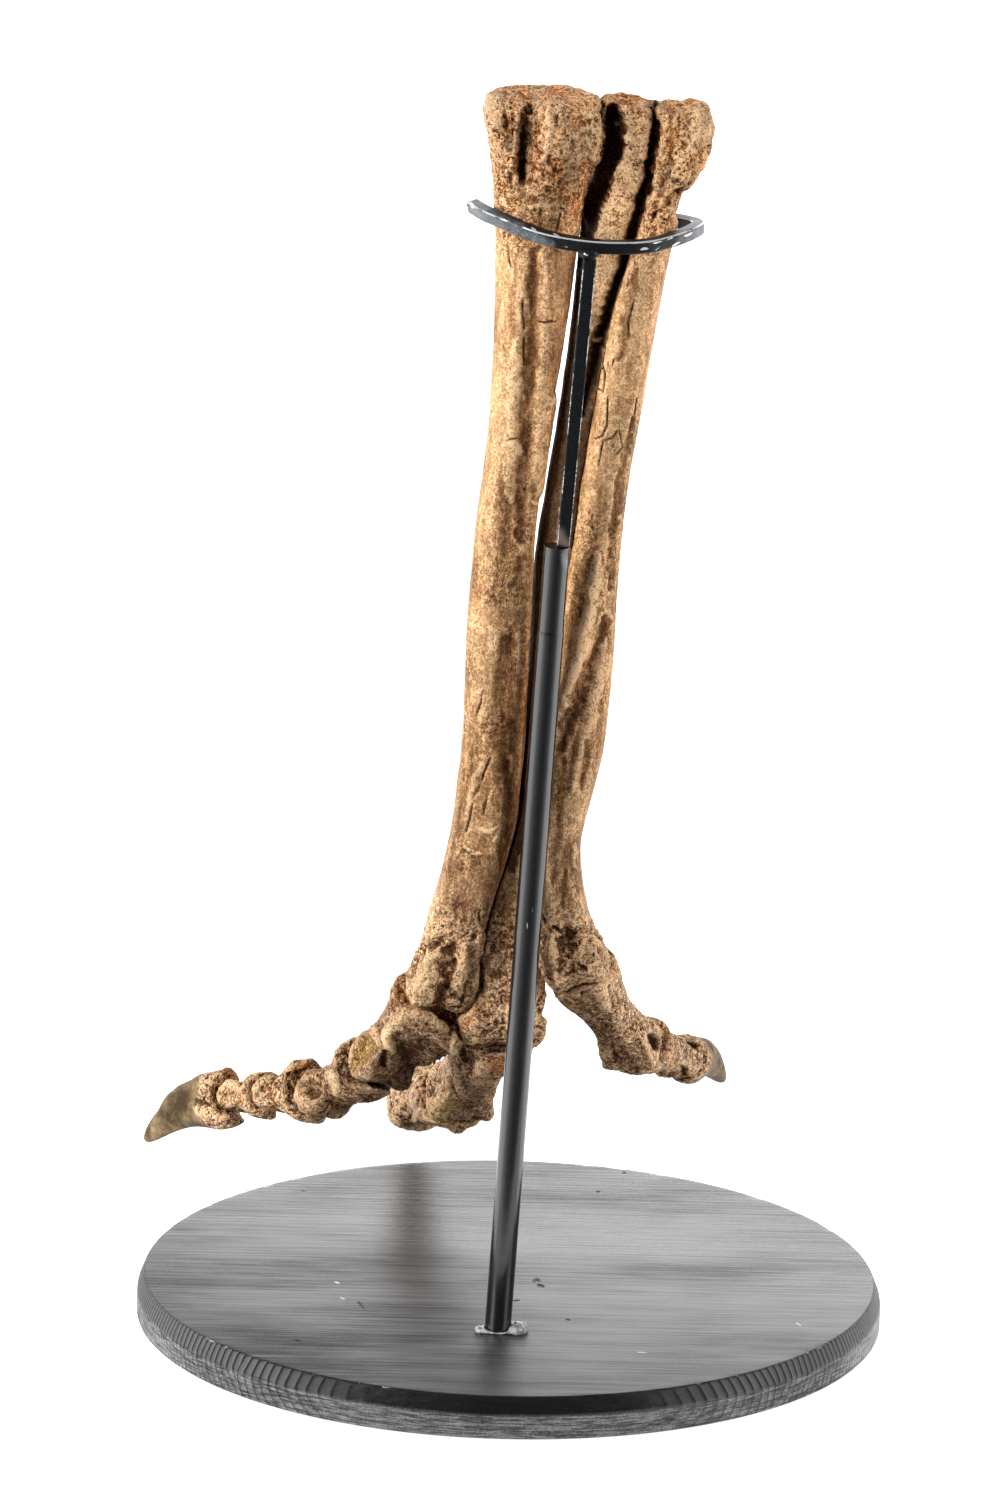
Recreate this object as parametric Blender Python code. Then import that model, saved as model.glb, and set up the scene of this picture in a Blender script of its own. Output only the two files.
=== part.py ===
"""Left foot of an ornithomimid dinosaur, as a mounted fossil in its steel holder.

The foot stands upright over the middle of a round base. Its sole side faces -Y and its
toes point to +Y. The origin is under the middle of the base, where the base rests.
Sizes and places in this file are millimetres; build_object turns them into metres.
"""

import math

import bmesh
import bpy
from mathutils import Matrix, Vector

MM = 0.001

# Driving dimensions of the holder
BASE_RADIUS = 140.0
BASE_THICKNESS = 16.0
CHAMFER_INWARD = 2.6
CHAMFER_DOWN = 6.5
BASE_SIDES = 72
POST_RADIUS = 4.9
POST_FOOT_X = -3.9
POST_TOP_X = 11.0
POST_TOP_Z = 318.4
POST_Y = -63.7
POST_STEP_SHARE = 0.706
POST_STEP = 0.2
POST_SIDES = 20
BAR_SIZE = 4.8
BAR_FOOT_X = 13.2
BAR_TOP_X = 20.3
BAR_TOP_Z = 426.4
RING_BAR_SIZE = 4.8

# The ring is bar bent by hand. Its upper outer edge, from the cut end at the left round the
# sole side to behind the bones: place, and how far the bar is twisted, in degrees
RING_STATIONS = (
    (-25.2, -28.5, 437.9, 14.0),
    (-19.7, -44.5, 438.7, 14.0),
    (-12.2, -53.6, 438.0, 14.0),
    (-5.2, -58.4, 436.5, 12.0),
    (2.8, -61.9, 434.9, 9.0),
    (12.9, -64.6, 433.8, 5.0),
    (24.9, -66.1, 433.3, 0.0),
    (39.7, -63.0, 433.0, 0.0),
    (47.3, -57.5, 433.3, 0.0),
    (54.7, -48.0, 433.4, 0.0),
    (59.5, -37.0, 432.9, 0.0),
    (62.0, -26.0, 431.8, 0.0),
    (61.7, -19.5, 431.1, 0.0),
    (59.4, -14.5, 430.9, 0.0),
    (51.8, -8.5, 430.8, 0.0),
    (38.0, -5.5, 431.2, 0.0),
    (22.0, -5.0, 431.8, 0.0),
)

# Space left between pieces that touch
GAP = 0.3
JOINT_GAP = 1.4
CARVED_GAP = 0.9

# Points round a section of a bone
METATARSAL_SIDES = 20
TOE_SIDES = 16
CLAW_SIDES = 14

UP = Vector((0.0, 0.0, 1.0))
RIGHT = Vector((1.0, 0.0, 0.0))
AWAY = Vector((0.0, 1.0, 0.0))

# Sections of the three long bones from the top down: height, middle from left to right,
# half width, sole side, upper side, squareness (2 is an ellipse, less is a diamond)
METATARSAL_4_SECTIONS = (
    (479.5, 1.6, 19.3, -50.5, -20.5, 2.8),
    (472.0, 1.7, 20.9, -53.0, -19.0, 2.7),
    (464.0, 2.3, 20.3, -53.0, -19.5, 2.5),
    (450.0, 2.2, 17.8, -51.8, -20.5, 2.3),
    (438.0, 1.5, 16.0, -50.6, -21.5, 2.0),
    (405.0, 0.0, 14.1, -52.5, -25.0, 2.2),
    (380.0, -1.8, 12.4, -53.5, -27.5, 2.3),
    (355.0, -3.9, 11.1, -54.5, -29.5, 2.3),
    (332.0, -6.8, 11.2, -56.0, -31.0, 2.3),
    (313.0, -8.6, 11.3, -57.0, -32.0, 2.3),
    (285.0, -9.5, 12.1, -58.5, -33.0, 2.4),
    (262.0, -9.8, 11.9, -59.5, -34.0, 2.4),
    (238.0, -10.7, 11.8, -60.0, -35.0, 2.4),
    (216.0, -12.0, 12.1, -60.5, -35.5, 2.4),
    (203.0, -14.1, 12.0, -60.5, -36.0, 2.4),
    (187.0, -17.8, 11.1, -60.5, -36.0, 2.4),
    (171.0, -22.6, 11.4, -60.0, -36.5, 2.5),
)
METATARSAL_3_SECTIONS = (
    (477.0, 32.0, 8.6, -45.0, -23.0, 1.8),
    (470.0, 32.4, 9.4, -46.5, -21.5, 1.7),
    (460.0, 32.8, 9.5, -46.5, -21.5, 1.7),
    (441.0, 29.1, 9.4, -46.5, -22.0, 1.7),
    (428.0, 25.4, 9.2, -46.5, -23.0, 1.8),
    (404.0, 21.8, 6.9, -46.5, -26.0, 1.9),
    (377.0, 18.4, 6.1, -47.0, -28.0, 2.0),
    (357.0, 15.9, 6.2, -47.5, -29.0, 2.0),
    (331.0, 12.4, 6.7, -48.0, -29.5, 2.0),
    (306.0, 10.3, 7.8, -48.5, -29.5, 2.0),
    (272.0, 8.5, 8.6, -50.0, -28.5, 2.0),
    (233.0, 5.2, 10.0, -51.0, -26.0, 2.1),
    (195.0, 1.3, 13.2, -52.0, -23.0, 2.2),
    (172.0, -2.2, 15.0, -52.5, -22.5, 2.3),
)
METATARSAL_2_SECTIONS = (
    (474.5, 52.6, 9.6, -47.5, -21.0, 2.6),
    (467.0, 53.8, 10.9, -50.0, -19.5, 2.5),
    (460.0, 53.0, 10.7, -50.5, -19.5, 2.4),
    (452.0, 50.3, 9.6, -50.0, -19.5, 2.3),
    (445.0, 46.9, 7.7, -49.5, -20.0, 2.2),
    (436.0, 44.9, 7.7, -49.0, -20.5, 2.2),
    (406.0, 37.8, 8.9, -50.5, -23.0, 2.3),
    (380.0, 33.7, 9.7, -51.5, -25.5, 2.3),
    (352.0, 29.8, 9.2, -53.0, -28.0, 2.3),
    (329.0, 26.6, 9.1, -54.5, -29.5, 2.3),
    (310.0, 25.0, 9.3, -55.5, -30.5, 2.3),
    (293.0, 23.4, 10.2, -57.0, -31.5, 2.3),
    (274.0, 22.6, 11.0, -58.0, -32.5, 2.3),
    (254.0, 20.9, 11.0, -59.0, -33.5, 2.3),
    (236.0, 19.5, 10.8, -59.5, -34.5, 2.3),
    (219.0, 16.6, 10.0, -60.0, -35.5, 2.3),
    (205.0, 13.3, 9.3, -60.0, -36.0, 2.3),
    (192.0, 13.0, 9.4, -60.0, -36.5, 2.3),
    (178.0, 15.8, 10.0, -60.0, -36.5, 2.4),
)

# Ridges (positive) and grooves (negative) on the sole side of the long bones:
# start, end, reach, height
METATARSAL_4_MARKS = (
    ((-3.4, -52.0, 478.0), (-3.6, -52.0, 452.0), 6.0, -5.0),
    ((0.5, -52.0, 410.0), (-5.0, -56.0, 335.0), 6.5, -2.2),
    ((-5.0, -56.0, 335.0), (-8.0, -60.0, 255.0), 7.0, -2.4),
    ((-19.0, -60.0, 176.0), (-27.0, -60.0, 150.0), 6.0, -2.5),
)
METATARSAL_2_MARKS = (
    ((28.0, -57.0, 300.0), (17.0, -59.0, 255.0), 6.5, 1.8),
    ((30.0, -57.0, 283.0), (19.0, -60.0, 232.0), 6.0, -2.0),
    ((15.0, -60.0, 190.0), (20.0, -60.0, 165.0), 6.0, -2.5),
)

# Knuckles at the lower ends of the long bones: middle, half width, radius, turn to the
# side seen from above, roll (positive lowers the right side), groove
METATARSAL_4_KNUCKLE = ((-27.2, -48.0, 147.5), 12.6, 13.0, 20.0, 15.0, 0.20)
METATARSAL_3_KNUCKLE = ((-4.9, -40.0, 133.9), 17.4, 16.0, 6.0, 2.0, 0.16)
METATARSAL_2_KNUCKLE = ((20.4, -48.0, 157.0), 12.6, 12.8, -12.0, -20.0, 0.20)

# Toe joints from the long bone to the tip, roll of the toe, then for each bone its base
# half width and half height, waist half width and half height, knuckle half width and
# radius; a claw has its base half width and half height and how far its back bows
TOES = {
    "toe_2": {
        "joints": ((20.4, -48.0, 157.0), (42.8, 2.5, 108.3), (61.2, 42.1, 90.9), (80.2, 76.0, 70.6)),
        "roll": -9.0,
        "bones": ((12.4, 11.8, 8.4, 8.2, 11.6, 11.2), (11.2, 11.0, 7.6, 7.2, 9.4, 9.8)),
        "claw": (8.0, 9.6, 4.0),
    },
    "toe_3": {
        "joints": (
            (-4.9, -40.0, 133.9),
            (-20.1, 37.3, 75.8),
            (-37.1, 97.8, 50.5),
            (-37.6, 148.4, 40.0),
            (-38.6, 191.0, 25.0),
        ),
        "roll": 4.0,
        "bones": (
            (16.2, 16.0, 10.6, 9.8, 13.4, 12.6),
            (13.8, 13.0, 9.0, 7.8, 10.8, 9.8),
            (11.2, 10.4, 7.6, 6.6, 8.8, 8.2),
        ),
        "claw": (8.6, 9.8, 3.5),
    },
    "toe_4": {
        "joints": (
            (-27.2, -48.0, 147.5),
            (-49.3, -24.9, 108.9),
            (-70.2, -4.9, 87.4),
            (-88.9, 13.5, 81.0),
            (-103.4, 27.2, 75.2),
            (-140.0, 49.8, 49.8),
        ),
        "roll": 22.0,
        "bones": (
            (12.6, 12.2, 9.4, 9.0, 11.0, 11.2),
            (11.8, 11.8, 8.6, 8.2, 9.8, 10.2),
            (10.2, 10.4, 7.4, 7.2, 8.6, 7.8),
            (8.8, 8.8, 6.4, 6.2, 7.2, 6.4),
        ),
        "claw": (8.2, 11.0, 4.5),
    },
}


def clear_scene():
    """Remove whatever the open file holds."""
    for item in list(bpy.data.objects):
        bpy.data.objects.remove(item, do_unlink=True)


def make_material(name, colour, roughness, metallic=0.0):
    """Plain material with one colour."""
    material = bpy.data.materials.new(name)
    material.use_nodes = True
    shader = material.node_tree.nodes["Principled BSDF"]
    shader.inputs["Base Color"].default_value = (*colour, 1.0)
    shader.inputs["Roughness"].default_value = roughness
    shader.inputs["Metallic"].default_value = metallic
    return material


def build_object(name, shape, material, smooth_angle=40.0):
    """Turn a bmesh in millimetres into a named object in metres."""
    bmesh.ops.scale(shape, vec=(MM, MM, MM), verts=shape.verts)
    bmesh.ops.recalc_face_normals(shape, faces=shape.faces)
    mesh = bpy.data.meshes.new(name)
    shape.to_mesh(mesh)
    shape.free()
    mesh.materials.append(material)
    mesh.shade_smooth()
    mesh.set_sharp_from_angle(angle=math.radians(smooth_angle))
    item = bpy.data.objects.new(name, mesh)
    bpy.context.scene.collection.objects.link(item)
    return item


def skin(rings, first_pole, last_pole):
    """Closed skin over a row of rings, with a pole at each end."""
    shape = bmesh.new()
    rows = [[shape.verts.new(point) for point in ring] for ring in rings]
    count = len(rows[0])
    for row, following in zip(rows, rows[1:]):
        for here in range(count):
            after = (here + 1) % count
            shape.faces.new((row[here], row[after], following[after], following[here]))
    for row, pole in ((rows[0], first_pole), (rows[-1], last_pole)):
        tip = shape.verts.new(pole)
        for here in range(count):
            shape.faces.new((row[here], row[(here + 1) % count], tip))
    return shape


def signed_power(value, exponent):
    """Power that keeps the sign of the value."""
    return math.copysign(abs(value) ** exponent, value)


def oval(middle, right, top, half_width, rise, drop, squareness, sides):
    """Ring of points: rise above the middle, drop below it."""
    points = []
    for step in range(sides):
        angle = 2 * math.pi * step / sides
        across = half_width * signed_power(math.cos(angle), 2 / squareness)
        height = signed_power(math.sin(angle), 2 / squareness)
        height *= rise if height > 0 else drop
        points.append(middle + right * across + top * height)
    return points


class Knuckle:
    """Rounded lower end of a bone: a roller with a groove round its middle."""

    def __init__(self, middle, right, onward, half_width, radius, groove):
        self.middle = Vector(middle)
        self.right = right.normalized()
        self.onward = (onward - self.right * onward.dot(self.right)).normalized()
        self.top = self.right.cross(self.onward)
        self.half_width = half_width
        self.radius = radius
        self.groove = groove

    def radius_at(self, across):
        """Radius at a distance from the middle of the roller."""
        share = min(abs(across) / self.half_width, 1.0)
        return self.radius * (1 - self.groove * math.cos(math.pi / 2 * share) ** 2)

    def ring(self, angle, sides):
        """Ring of points round the roller; the angle goes from its neck to its end."""
        points = []
        taper = 1 - 0.30 * math.sin(angle - 0.1) ** 4
        for step in range(sides):
            turn = 2 * math.pi * step / sides
            across = self.half_width * signed_power(math.cos(turn), 0.6)
            height = signed_power(math.sin(turn), 0.6)
            radius = self.radius_at(across)
            edge = (abs(across) / self.half_width) ** 6
            radius *= 1 - 0.12 * edge * abs(height)
            across *= taper
            point = self.middle + self.right * across
            point = point + self.top * (radius * math.cos(angle) * height)
            points.append(point + self.onward * (radius * math.sin(angle)))
        return points

    def pole(self):
        """Point at the end of the roller."""
        return self.middle + self.onward * self.radius_at(0.0)

    def sink_pits(self, rings, angles, sides):
        """Press the ligament pits into the two sides of the roller."""
        for ring, angle in zip(rings, angles):
            depth = 0.30 * self.half_width * max(0.0, math.cos(1.6 * angle))
            for step, side in ((0, -1.0), (sides // 2, 1.0)):
                ring[step] = ring[step] + self.right * (side * depth)

    def clear(self, point, direction):
        """Slide a point of the next bone's socket until it clears this roller."""
        for _ in range(200):
            arm = point - self.middle
            across = arm.dot(self.right)
            if (arm - self.right * across).length >= self.radius_at(across) + JOINT_GAP:
                return point
            point = point + direction * 0.2
        return point


def press_marks(ring, marks, middle):
    """Raise ridges and sink grooves near the lines that the marks give."""
    for number, point in enumerate(ring):
        outward = (point - middle).normalized()
        for start, end, reach, height in marks:
            start, end = Vector(start), Vector(end)
            along = end - start
            share = (point - start).dot(along) / along.length_squared
            nearest = start + along * min(max(share, 0.0), 1.0)
            distance = (point - nearest).length / reach
            if distance < 1.0:
                point = point + outward * (height * (1 - distance ** 2) ** 2)
        ring[number] = point


def long_bone(sections, knuckle, marks=(), grow=0.0):
    """Skin of a metatarsal: a hollowed top, its sections and its knuckle."""
    sides = METATARSAL_SIDES
    rings = []
    for height, middle_x, half_width, sole, upper, squareness in sections:
        middle = Vector((middle_x, (sole + upper) / 2, height))
        reach = (upper - sole) / 2 + grow
        ring = oval(middle, RIGHT, AWAY, half_width + grow, reach, reach, squareness, sides)
        press_marks(ring, marks, middle)
        rings.append(ring)
    top_height, top_x, top_width, top_sole, top_upper, _ = sections[0]
    top_middle = Vector((top_x, (top_sole + top_upper) / 2, top_height + grow))
    lip = [top_middle + (point - top_middle) * 0.86 + UP * 1.2 for point in rings[0]]
    dish = [top_middle + (point - top_middle) * 0.45 - UP * 0.6 for point in rings[0]]
    angles = [math.radians(value) for value in (-46, -22, 4, 30, 56, 78)]
    knuckle_rings = [knuckle.ring(angle, sides) for angle in angles]
    if grow == 0.0:
        knuckle.sink_pits(knuckle_rings, angles, sides)
    rings = [dish, lip] + rings + knuckle_rings
    return skin(rings, top_middle - UP * 1.4, knuckle.pole() - UP * grow)


def metatarsal_knuckle(numbers, grow=0.0):
    """Knuckle of a long bone from its row of numbers."""
    middle, half_width, radius, turn, roll, groove = numbers
    spin = Matrix.Rotation(math.radians(turn), 3, "Z")
    lean = Matrix.Rotation(math.radians(roll), 3, "Y")
    right = spin @ (lean @ RIGHT)
    return Knuckle(middle, right, -UP, half_width + grow, radius + grow, groove)


def bone_axes(start, end, roll):
    """Onward, right and top directions of a toe bone."""
    onward = (end - start).normalized()
    right = onward.cross(UP).normalized()
    right = Matrix.Rotation(math.radians(roll), 3, onward) @ right
    return onward, right, right.cross(onward)


def socket(ring, middle, onward, knuckle):
    """Rings of the hollow end of a toe bone that fits over the knuckle before it."""
    rim = [knuckle.clear(point, onward) for point in ring]
    rings = []
    for share in (0.42, 0.78):
        inner = [middle + (point - middle) * share for point in ring]
        rings.append([knuckle.clear(point, onward) for point in inner])
    return rings, rim, knuckle.clear(middle, onward)


def toe_bone(start, end, roll, sizes, before):
    """Skin of a phalanx and its own knuckle, for the next bone to fit over."""
    base_width, base_height, waist_width, waist_height, head_width, head_radius = sizes
    start, end = Vector(start), Vector(end)
    onward, right, top = bone_axes(start, end, roll)
    length = (end - start).length
    knuckle = Knuckle(end, right, onward, head_width, head_radius, 0.17)

    lip_place = start + onward * (0.30 * before.radius)
    lip_ring = oval(lip_place, right, top, base_width, base_height, base_height * 1.05, 2.8, TOE_SIDES)
    hollow, rim, pole = socket(lip_ring, lip_place, onward, before)
    base_end = before.radius + 2.0
    neck = length - 0.95 * head_radius
    rings = hollow + [rim]
    for share, swell in ((0.0, 1.0), (0.16, 0.90), (0.42, 0.38), (0.68, 0.06), (0.92, 0.12)):
        place = start + onward * (base_end + share * (neck - base_end))
        half_width = waist_width + swell * (base_width - waist_width)
        half_height = waist_height + swell * (base_height - waist_height)
        squareness = 2.2 + 0.5 * swell
        rings.append(oval(place, right, top, half_width, half_height * 0.96, half_height, squareness, TOE_SIDES))
    angles = [math.radians(value) for value in (-42, -14, 16, 46, 74)]
    knuckle_rings = [knuckle.ring(angle, TOE_SIDES) for angle in angles]
    knuckle.sink_pits(knuckle_rings, angles, TOE_SIDES)
    return skin(rings + knuckle_rings, pole, knuckle.pole()), knuckle


def claw_bone(start, end, roll, sizes, before):
    """Skin of a claw: bowed back, flat sides, blunt tip and the heel under its base."""
    half_width, half_height, bow = sizes
    start, end = Vector(start), Vector(end)
    onward, right, top = bone_axes(start, end, roll)
    length = (end - start).length
    lip_place = start + onward * (0.25 * before.radius)
    lip_ring = oval(lip_place, right, top, half_width, half_height, half_height * 0.95, 2.5, CLAW_SIDES)
    hollow, rim, pole = socket(lip_ring, lip_place, onward, before)
    rings = hollow + [rim]
    first = before.radius + 2.0
    profile = (
        (0.00, 1.00, 1.02, 0.98),
        (0.12, 0.95, 1.00, 1.00),
        (0.26, 0.86, 0.94, 0.80),
        (0.42, 0.74, 0.82, 0.68),
        (0.58, 0.62, 0.68, 0.58),
        (0.74, 0.50, 0.52, 0.48),
        (0.87, 0.38, 0.36, 0.34),
        (0.96, 0.24, 0.20, 0.20),
    )
    for share, width, rise, drop in profile:
        place = start + onward * (first + share * (length - first))
        place = place + top * (bow * math.sin(math.pi * share) - 0.5 * share)
        rings.append(
            oval(place, right, top, half_width * width, half_height * rise, half_height * drop, 2.1, CLAW_SIDES)
        )
    return skin(rings, pole, end)


def carve(item, cutter):
    """Cut a hidden copy of a neighbour out of an object."""
    cutter.hide_render = True
    cutter.display_type = "WIRE"
    boolean = item.modifiers.new("fit against " + cutter.name, "BOOLEAN")
    boolean.operation = "DIFFERENCE"
    boolean.solver = "EXACT"
    boolean.object = cutter


def build_metatarsals(material):
    """The three long bones; the middle one is cut to fit between the other two."""
    rows = (
        ("metatarsal_4", METATARSAL_4_SECTIONS, METATARSAL_4_KNUCKLE, METATARSAL_4_MARKS),
        ("metatarsal_2", METATARSAL_2_SECTIONS, METATARSAL_2_KNUCKLE, METATARSAL_2_MARKS),
        ("metatarsal_3", METATARSAL_3_SECTIONS, METATARSAL_3_KNUCKLE, ()),
    )
    items = {}
    knuckles = {}
    cutters = {}
    for name, sections, numbers, marks in rows:
        knuckles[name] = metatarsal_knuckle(numbers)
        shape = long_bone(sections, knuckles[name], marks)
        items[name] = build_object(name, shape, material)
        shape = long_bone(sections, metatarsal_knuckle(numbers, CARVED_GAP), marks, CARVED_GAP)
        cutters[name] = build_object(name + "_clearance", shape, material)
    carve(items["metatarsal_3"], cutters["metatarsal_4"])
    carve(items["metatarsal_3"], cutters["metatarsal_2"])
    return knuckles, cutters["metatarsal_3"]


def build_toes(material, knuckles, middle_cutter):
    """All phalanges and claws, each one fitted over the knuckle before it."""
    for toe, plan in TOES.items():
        knuckle = knuckles["metatarsal_" + toe[-1]]
        joints = plan["joints"]
        for number, sizes in enumerate(plan["bones"]):
            shape, following = toe_bone(joints[number], joints[number + 1], plan["roll"], sizes, knuckle)
            item = build_object(f"{toe}_phalanx_{number + 1}", shape, material)
            if number == 0 and toe != "toe_3":
                carve(item, middle_cutter)
            knuckle = following
        shape = claw_bone(joints[-2], joints[-1], plan["roll"], plan["claw"], knuckle)
        build_object(f"{toe}_claw", shape, material)


def build_base(material):
    """Round base with a chamfered top edge and a slightly eased bottom edge."""
    profile = (
        (BASE_RADIUS - 0.8, 0.0),
        (BASE_RADIUS, 0.8),
        (BASE_RADIUS, BASE_THICKNESS - CHAMFER_DOWN),
        (BASE_RADIUS - CHAMFER_INWARD, BASE_THICKNESS),
    )
    shape = bmesh.new()
    rows = []
    for radius, height in profile:
        ring = bmesh.ops.create_circle(shape, cap_ends=False, segments=BASE_SIDES, radius=radius)["verts"]
        bmesh.ops.translate(shape, vec=(0.0, 0.0, height), verts=ring)
        rows.append(list({edge for vert in ring for edge in vert.link_edges}))
    for lower, upper in zip(rows, rows[1:]):
        bmesh.ops.bridge_loops(shape, edges=lower + upper)
    shape.faces.new(sorted_loop(rows[0]))
    shape.faces.new(sorted_loop(rows[-1]))
    build_object("base_disc", shape, material, 20.0)


def sorted_loop(edges):
    """Corners of a closed loop of edges, in order."""
    start = edges[0].verts[0]
    loop = [start]
    edge = edges[0]
    current = edge.other_vert(start)
    remaining = set(edges)
    while current is not start:
        loop.append(current)
        remaining.discard(edge)
        edge = next(link for link in current.link_edges if link in remaining)
        current = edge.other_vert(current)
    return loop


def build_post(material):
    """Round tube that leans a little to the right."""
    foot = Vector((POST_FOOT_X, POST_Y, BASE_THICKNESS + 2 * GAP))
    head = Vector((POST_TOP_X, POST_Y, POST_TOP_Z))
    _, right, top = upright_axes(foot, head)
    rings = []
    for share, radius in (
        (0.0, POST_RADIUS),
        (POST_STEP_SHARE, POST_RADIUS),
        (POST_STEP_SHARE + 0.005, POST_RADIUS - POST_STEP),
        (1.0, POST_RADIUS - POST_STEP),
    ):
        middle = foot + (head - foot) * share
        rings.append(oval(middle, right, top, radius, radius, radius, 2.0, POST_SIDES))
    build_object("post_tube", skin(rings, foot, head), material)


def upright_axes(foot, head):
    """Directions of a leaning upright bar: along it, to the right and away."""
    onward = (head - foot).normalized()
    top = (AWAY - onward * AWAY.dot(onward)).normalized()
    right = top.cross(onward)
    return onward, right, top


def catmull_rom(before, start, end, after, share):
    """Value between start and end on a smooth curve."""
    slope_in = (end - before) / 2
    slope_out = (after - start) / 2
    cube, square = share ** 3, share ** 2
    return (
        (2 * cube - 3 * square + 1) * start
        + (cube - 2 * square + share) * slope_in
        + (3 * square - 2 * cube) * end
        + (cube - square) * slope_out
    )


def blend_stations(stations):
    """Stations with one more between each two, on a smooth curve through them all."""
    rows = []
    last = len(stations) - 1
    for number in range(last):
        before = stations[max(number - 1, 0)]
        after = stations[min(number + 2, last)]
        rows.append(stations[number])
        values = zip(before, stations[number], stations[number + 1], after)
        rows.append(tuple(catmull_rom(*value, 0.5) for value in values))
    rows.append(stations[last])
    return rows


def build_bar(material):
    """Square bar from the top of the tube to the underside of the ring."""
    foot = Vector((BAR_FOOT_X, POST_Y, POST_TOP_Z + GAP))
    head = Vector((BAR_TOP_X, POST_Y, BAR_TOP_Z))
    onward, right, top = upright_axes(foot, head)
    half = BAR_SIZE / 2
    shape = bmesh.new()
    corners = []
    for middle in (foot, head):
        for across, away in ((-half, -half), (half, -half), (half, half), (-half, half)):
            corners.append(shape.verts.new(middle + right * across + top * away))
    for face in ((0, 1, 2, 3), (4, 5, 6, 7), (0, 1, 5, 4), (1, 2, 6, 5), (2, 3, 7, 6), (3, 0, 4, 7)):
        shape.faces.new([corners[number] for number in face])
    bmesh.ops.bevel(
        shape,
        geom=[edge for edge in shape.edges if abs((edge.verts[0].co - edge.verts[1].co).dot(onward)) > 50.0],
        offset=0.5,
        segments=1,
        affect="EDGES",
    )
    build_object("post_bar", shape, material, 20.0)
    return head, onward, right, top


def build_ring(material):
    """Open ring of square bar with eased edges, bent along its stations."""
    size, ease = RING_BAR_SIZE, 0.6
    outline = (
        (size, ease),
        (size - ease, 0.0),
        (ease, 0.0),
        (0.0, ease),
        (0.0, size - ease),
        (ease, size),
        (size - ease, size),
        (size, size - ease),
    )
    stations = blend_stations(RING_STATIONS)
    rings = []
    for number, (*place, twist) in enumerate(stations):
        before = stations[max(number - 1, 0)][:3]
        after = stations[min(number + 1, len(stations) - 1)][:3]
        onward = (Vector(after) - Vector(before)).normalized()
        inward = UP.cross(onward).normalized()
        turn = Matrix.Rotation(math.radians(twist), 3, onward)
        inward, down = turn @ inward, turn @ inward.cross(onward).normalized()
        rings.append([Vector(place) + inward * across + down * drop for across, drop in outline])
    ends = [sum(ring, Vector()) / len(ring) for ring in (rings[0], rings[-1])]
    build_object("support_ring", skin(rings, ends[0], ends[1]), material, 25.0)


def build_weld(material, head, onward, right, top):
    """Weld bead between the end of the bar and the ring, a little wider than the bar."""
    rings = []
    for rise, half in ((0.3, 2.9), (0.8, 3.3), (1.45, 3.4)):
        rings.append(oval(head + onward * rise, right, top, half, half * 0.78, half * 0.78, 2.3, 16))
    shape = skin(rings, head + onward * 0.3, head + onward * 1.5)
    build_object("weld_bead", shape, material)


def build_glue(material):
    """Clear glue in a low uneven collar round the foot of the tube."""
    foot = Vector((POST_FOOT_X, POST_Y, BASE_THICKNESS + GAP))
    inner = POST_RADIUS + GAP + 0.2
    sides = 18
    shape = bmesh.new()
    rows = []
    for inward, lift in ((0.0, 0.0), (1.0, 0.0), (0.75, 0.75), (0.35, 1.0), (0.0, 0.95)):
        row = []
        for step in range(sides):
            angle = 2 * math.pi * step / sides
            right_blob = max(0.0, math.cos(angle + 0.1)) ** 6
            left_blob = max(0.0, -math.cos(angle - 0.35)) ** 5
            width = 1.0 + 5.4 * right_blob + 2.6 * left_blob
            height = 0.7 + 1.7 * right_blob + 0.9 * left_blob
            radius = inner + width * inward
            place = foot + Vector((radius * math.cos(angle), radius * math.sin(angle), height * lift))
            row.append(shape.verts.new(place))
        rows.append(row)
    rows.append(rows[0])
    for row, following in zip(rows, rows[1:]):
        for here in range(sides):
            after = (here + 1) % sides
            shape.faces.new((row[here], row[after], following[after], following[here]))
    build_object("foot_glue", shape, material)


def main():
    """Build the whole object."""
    clear_scene()
    bone = make_material("fossil_bone", (0.40, 0.27, 0.15), 0.75)
    steel = make_material("black_steel", (0.03, 0.03, 0.032), 0.45, 0.3)
    wood = make_material("black_wood", (0.06, 0.06, 0.062), 0.55)
    glue = make_material("clear_glue", (0.75, 0.76, 0.76), 0.25)
    knuckles, middle_cutter = build_metatarsals(bone)
    build_toes(bone, knuckles, middle_cutter)
    build_base(wood)
    build_post(steel)
    head, onward, right, top = build_bar(steel)
    build_ring(steel)
    build_weld(steel, head, onward, right, top)
    build_glue(glue)


main()
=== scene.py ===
"""Looks of a mounted fossil foot: its bones, its steel holder, its wooden base and a plain studio.

Lengths that a user may change are metres. Marks on the bones are placed by where they stand
in the camera's picture of 1000 by 1499 points, and sizes there are points of that picture.
"""

import functools
import itertools
import math

import bmesh
import bpy
import numpy as np
from mathutils import Matrix, Vector
from mathutils.bvhtree import BVHTree


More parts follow.
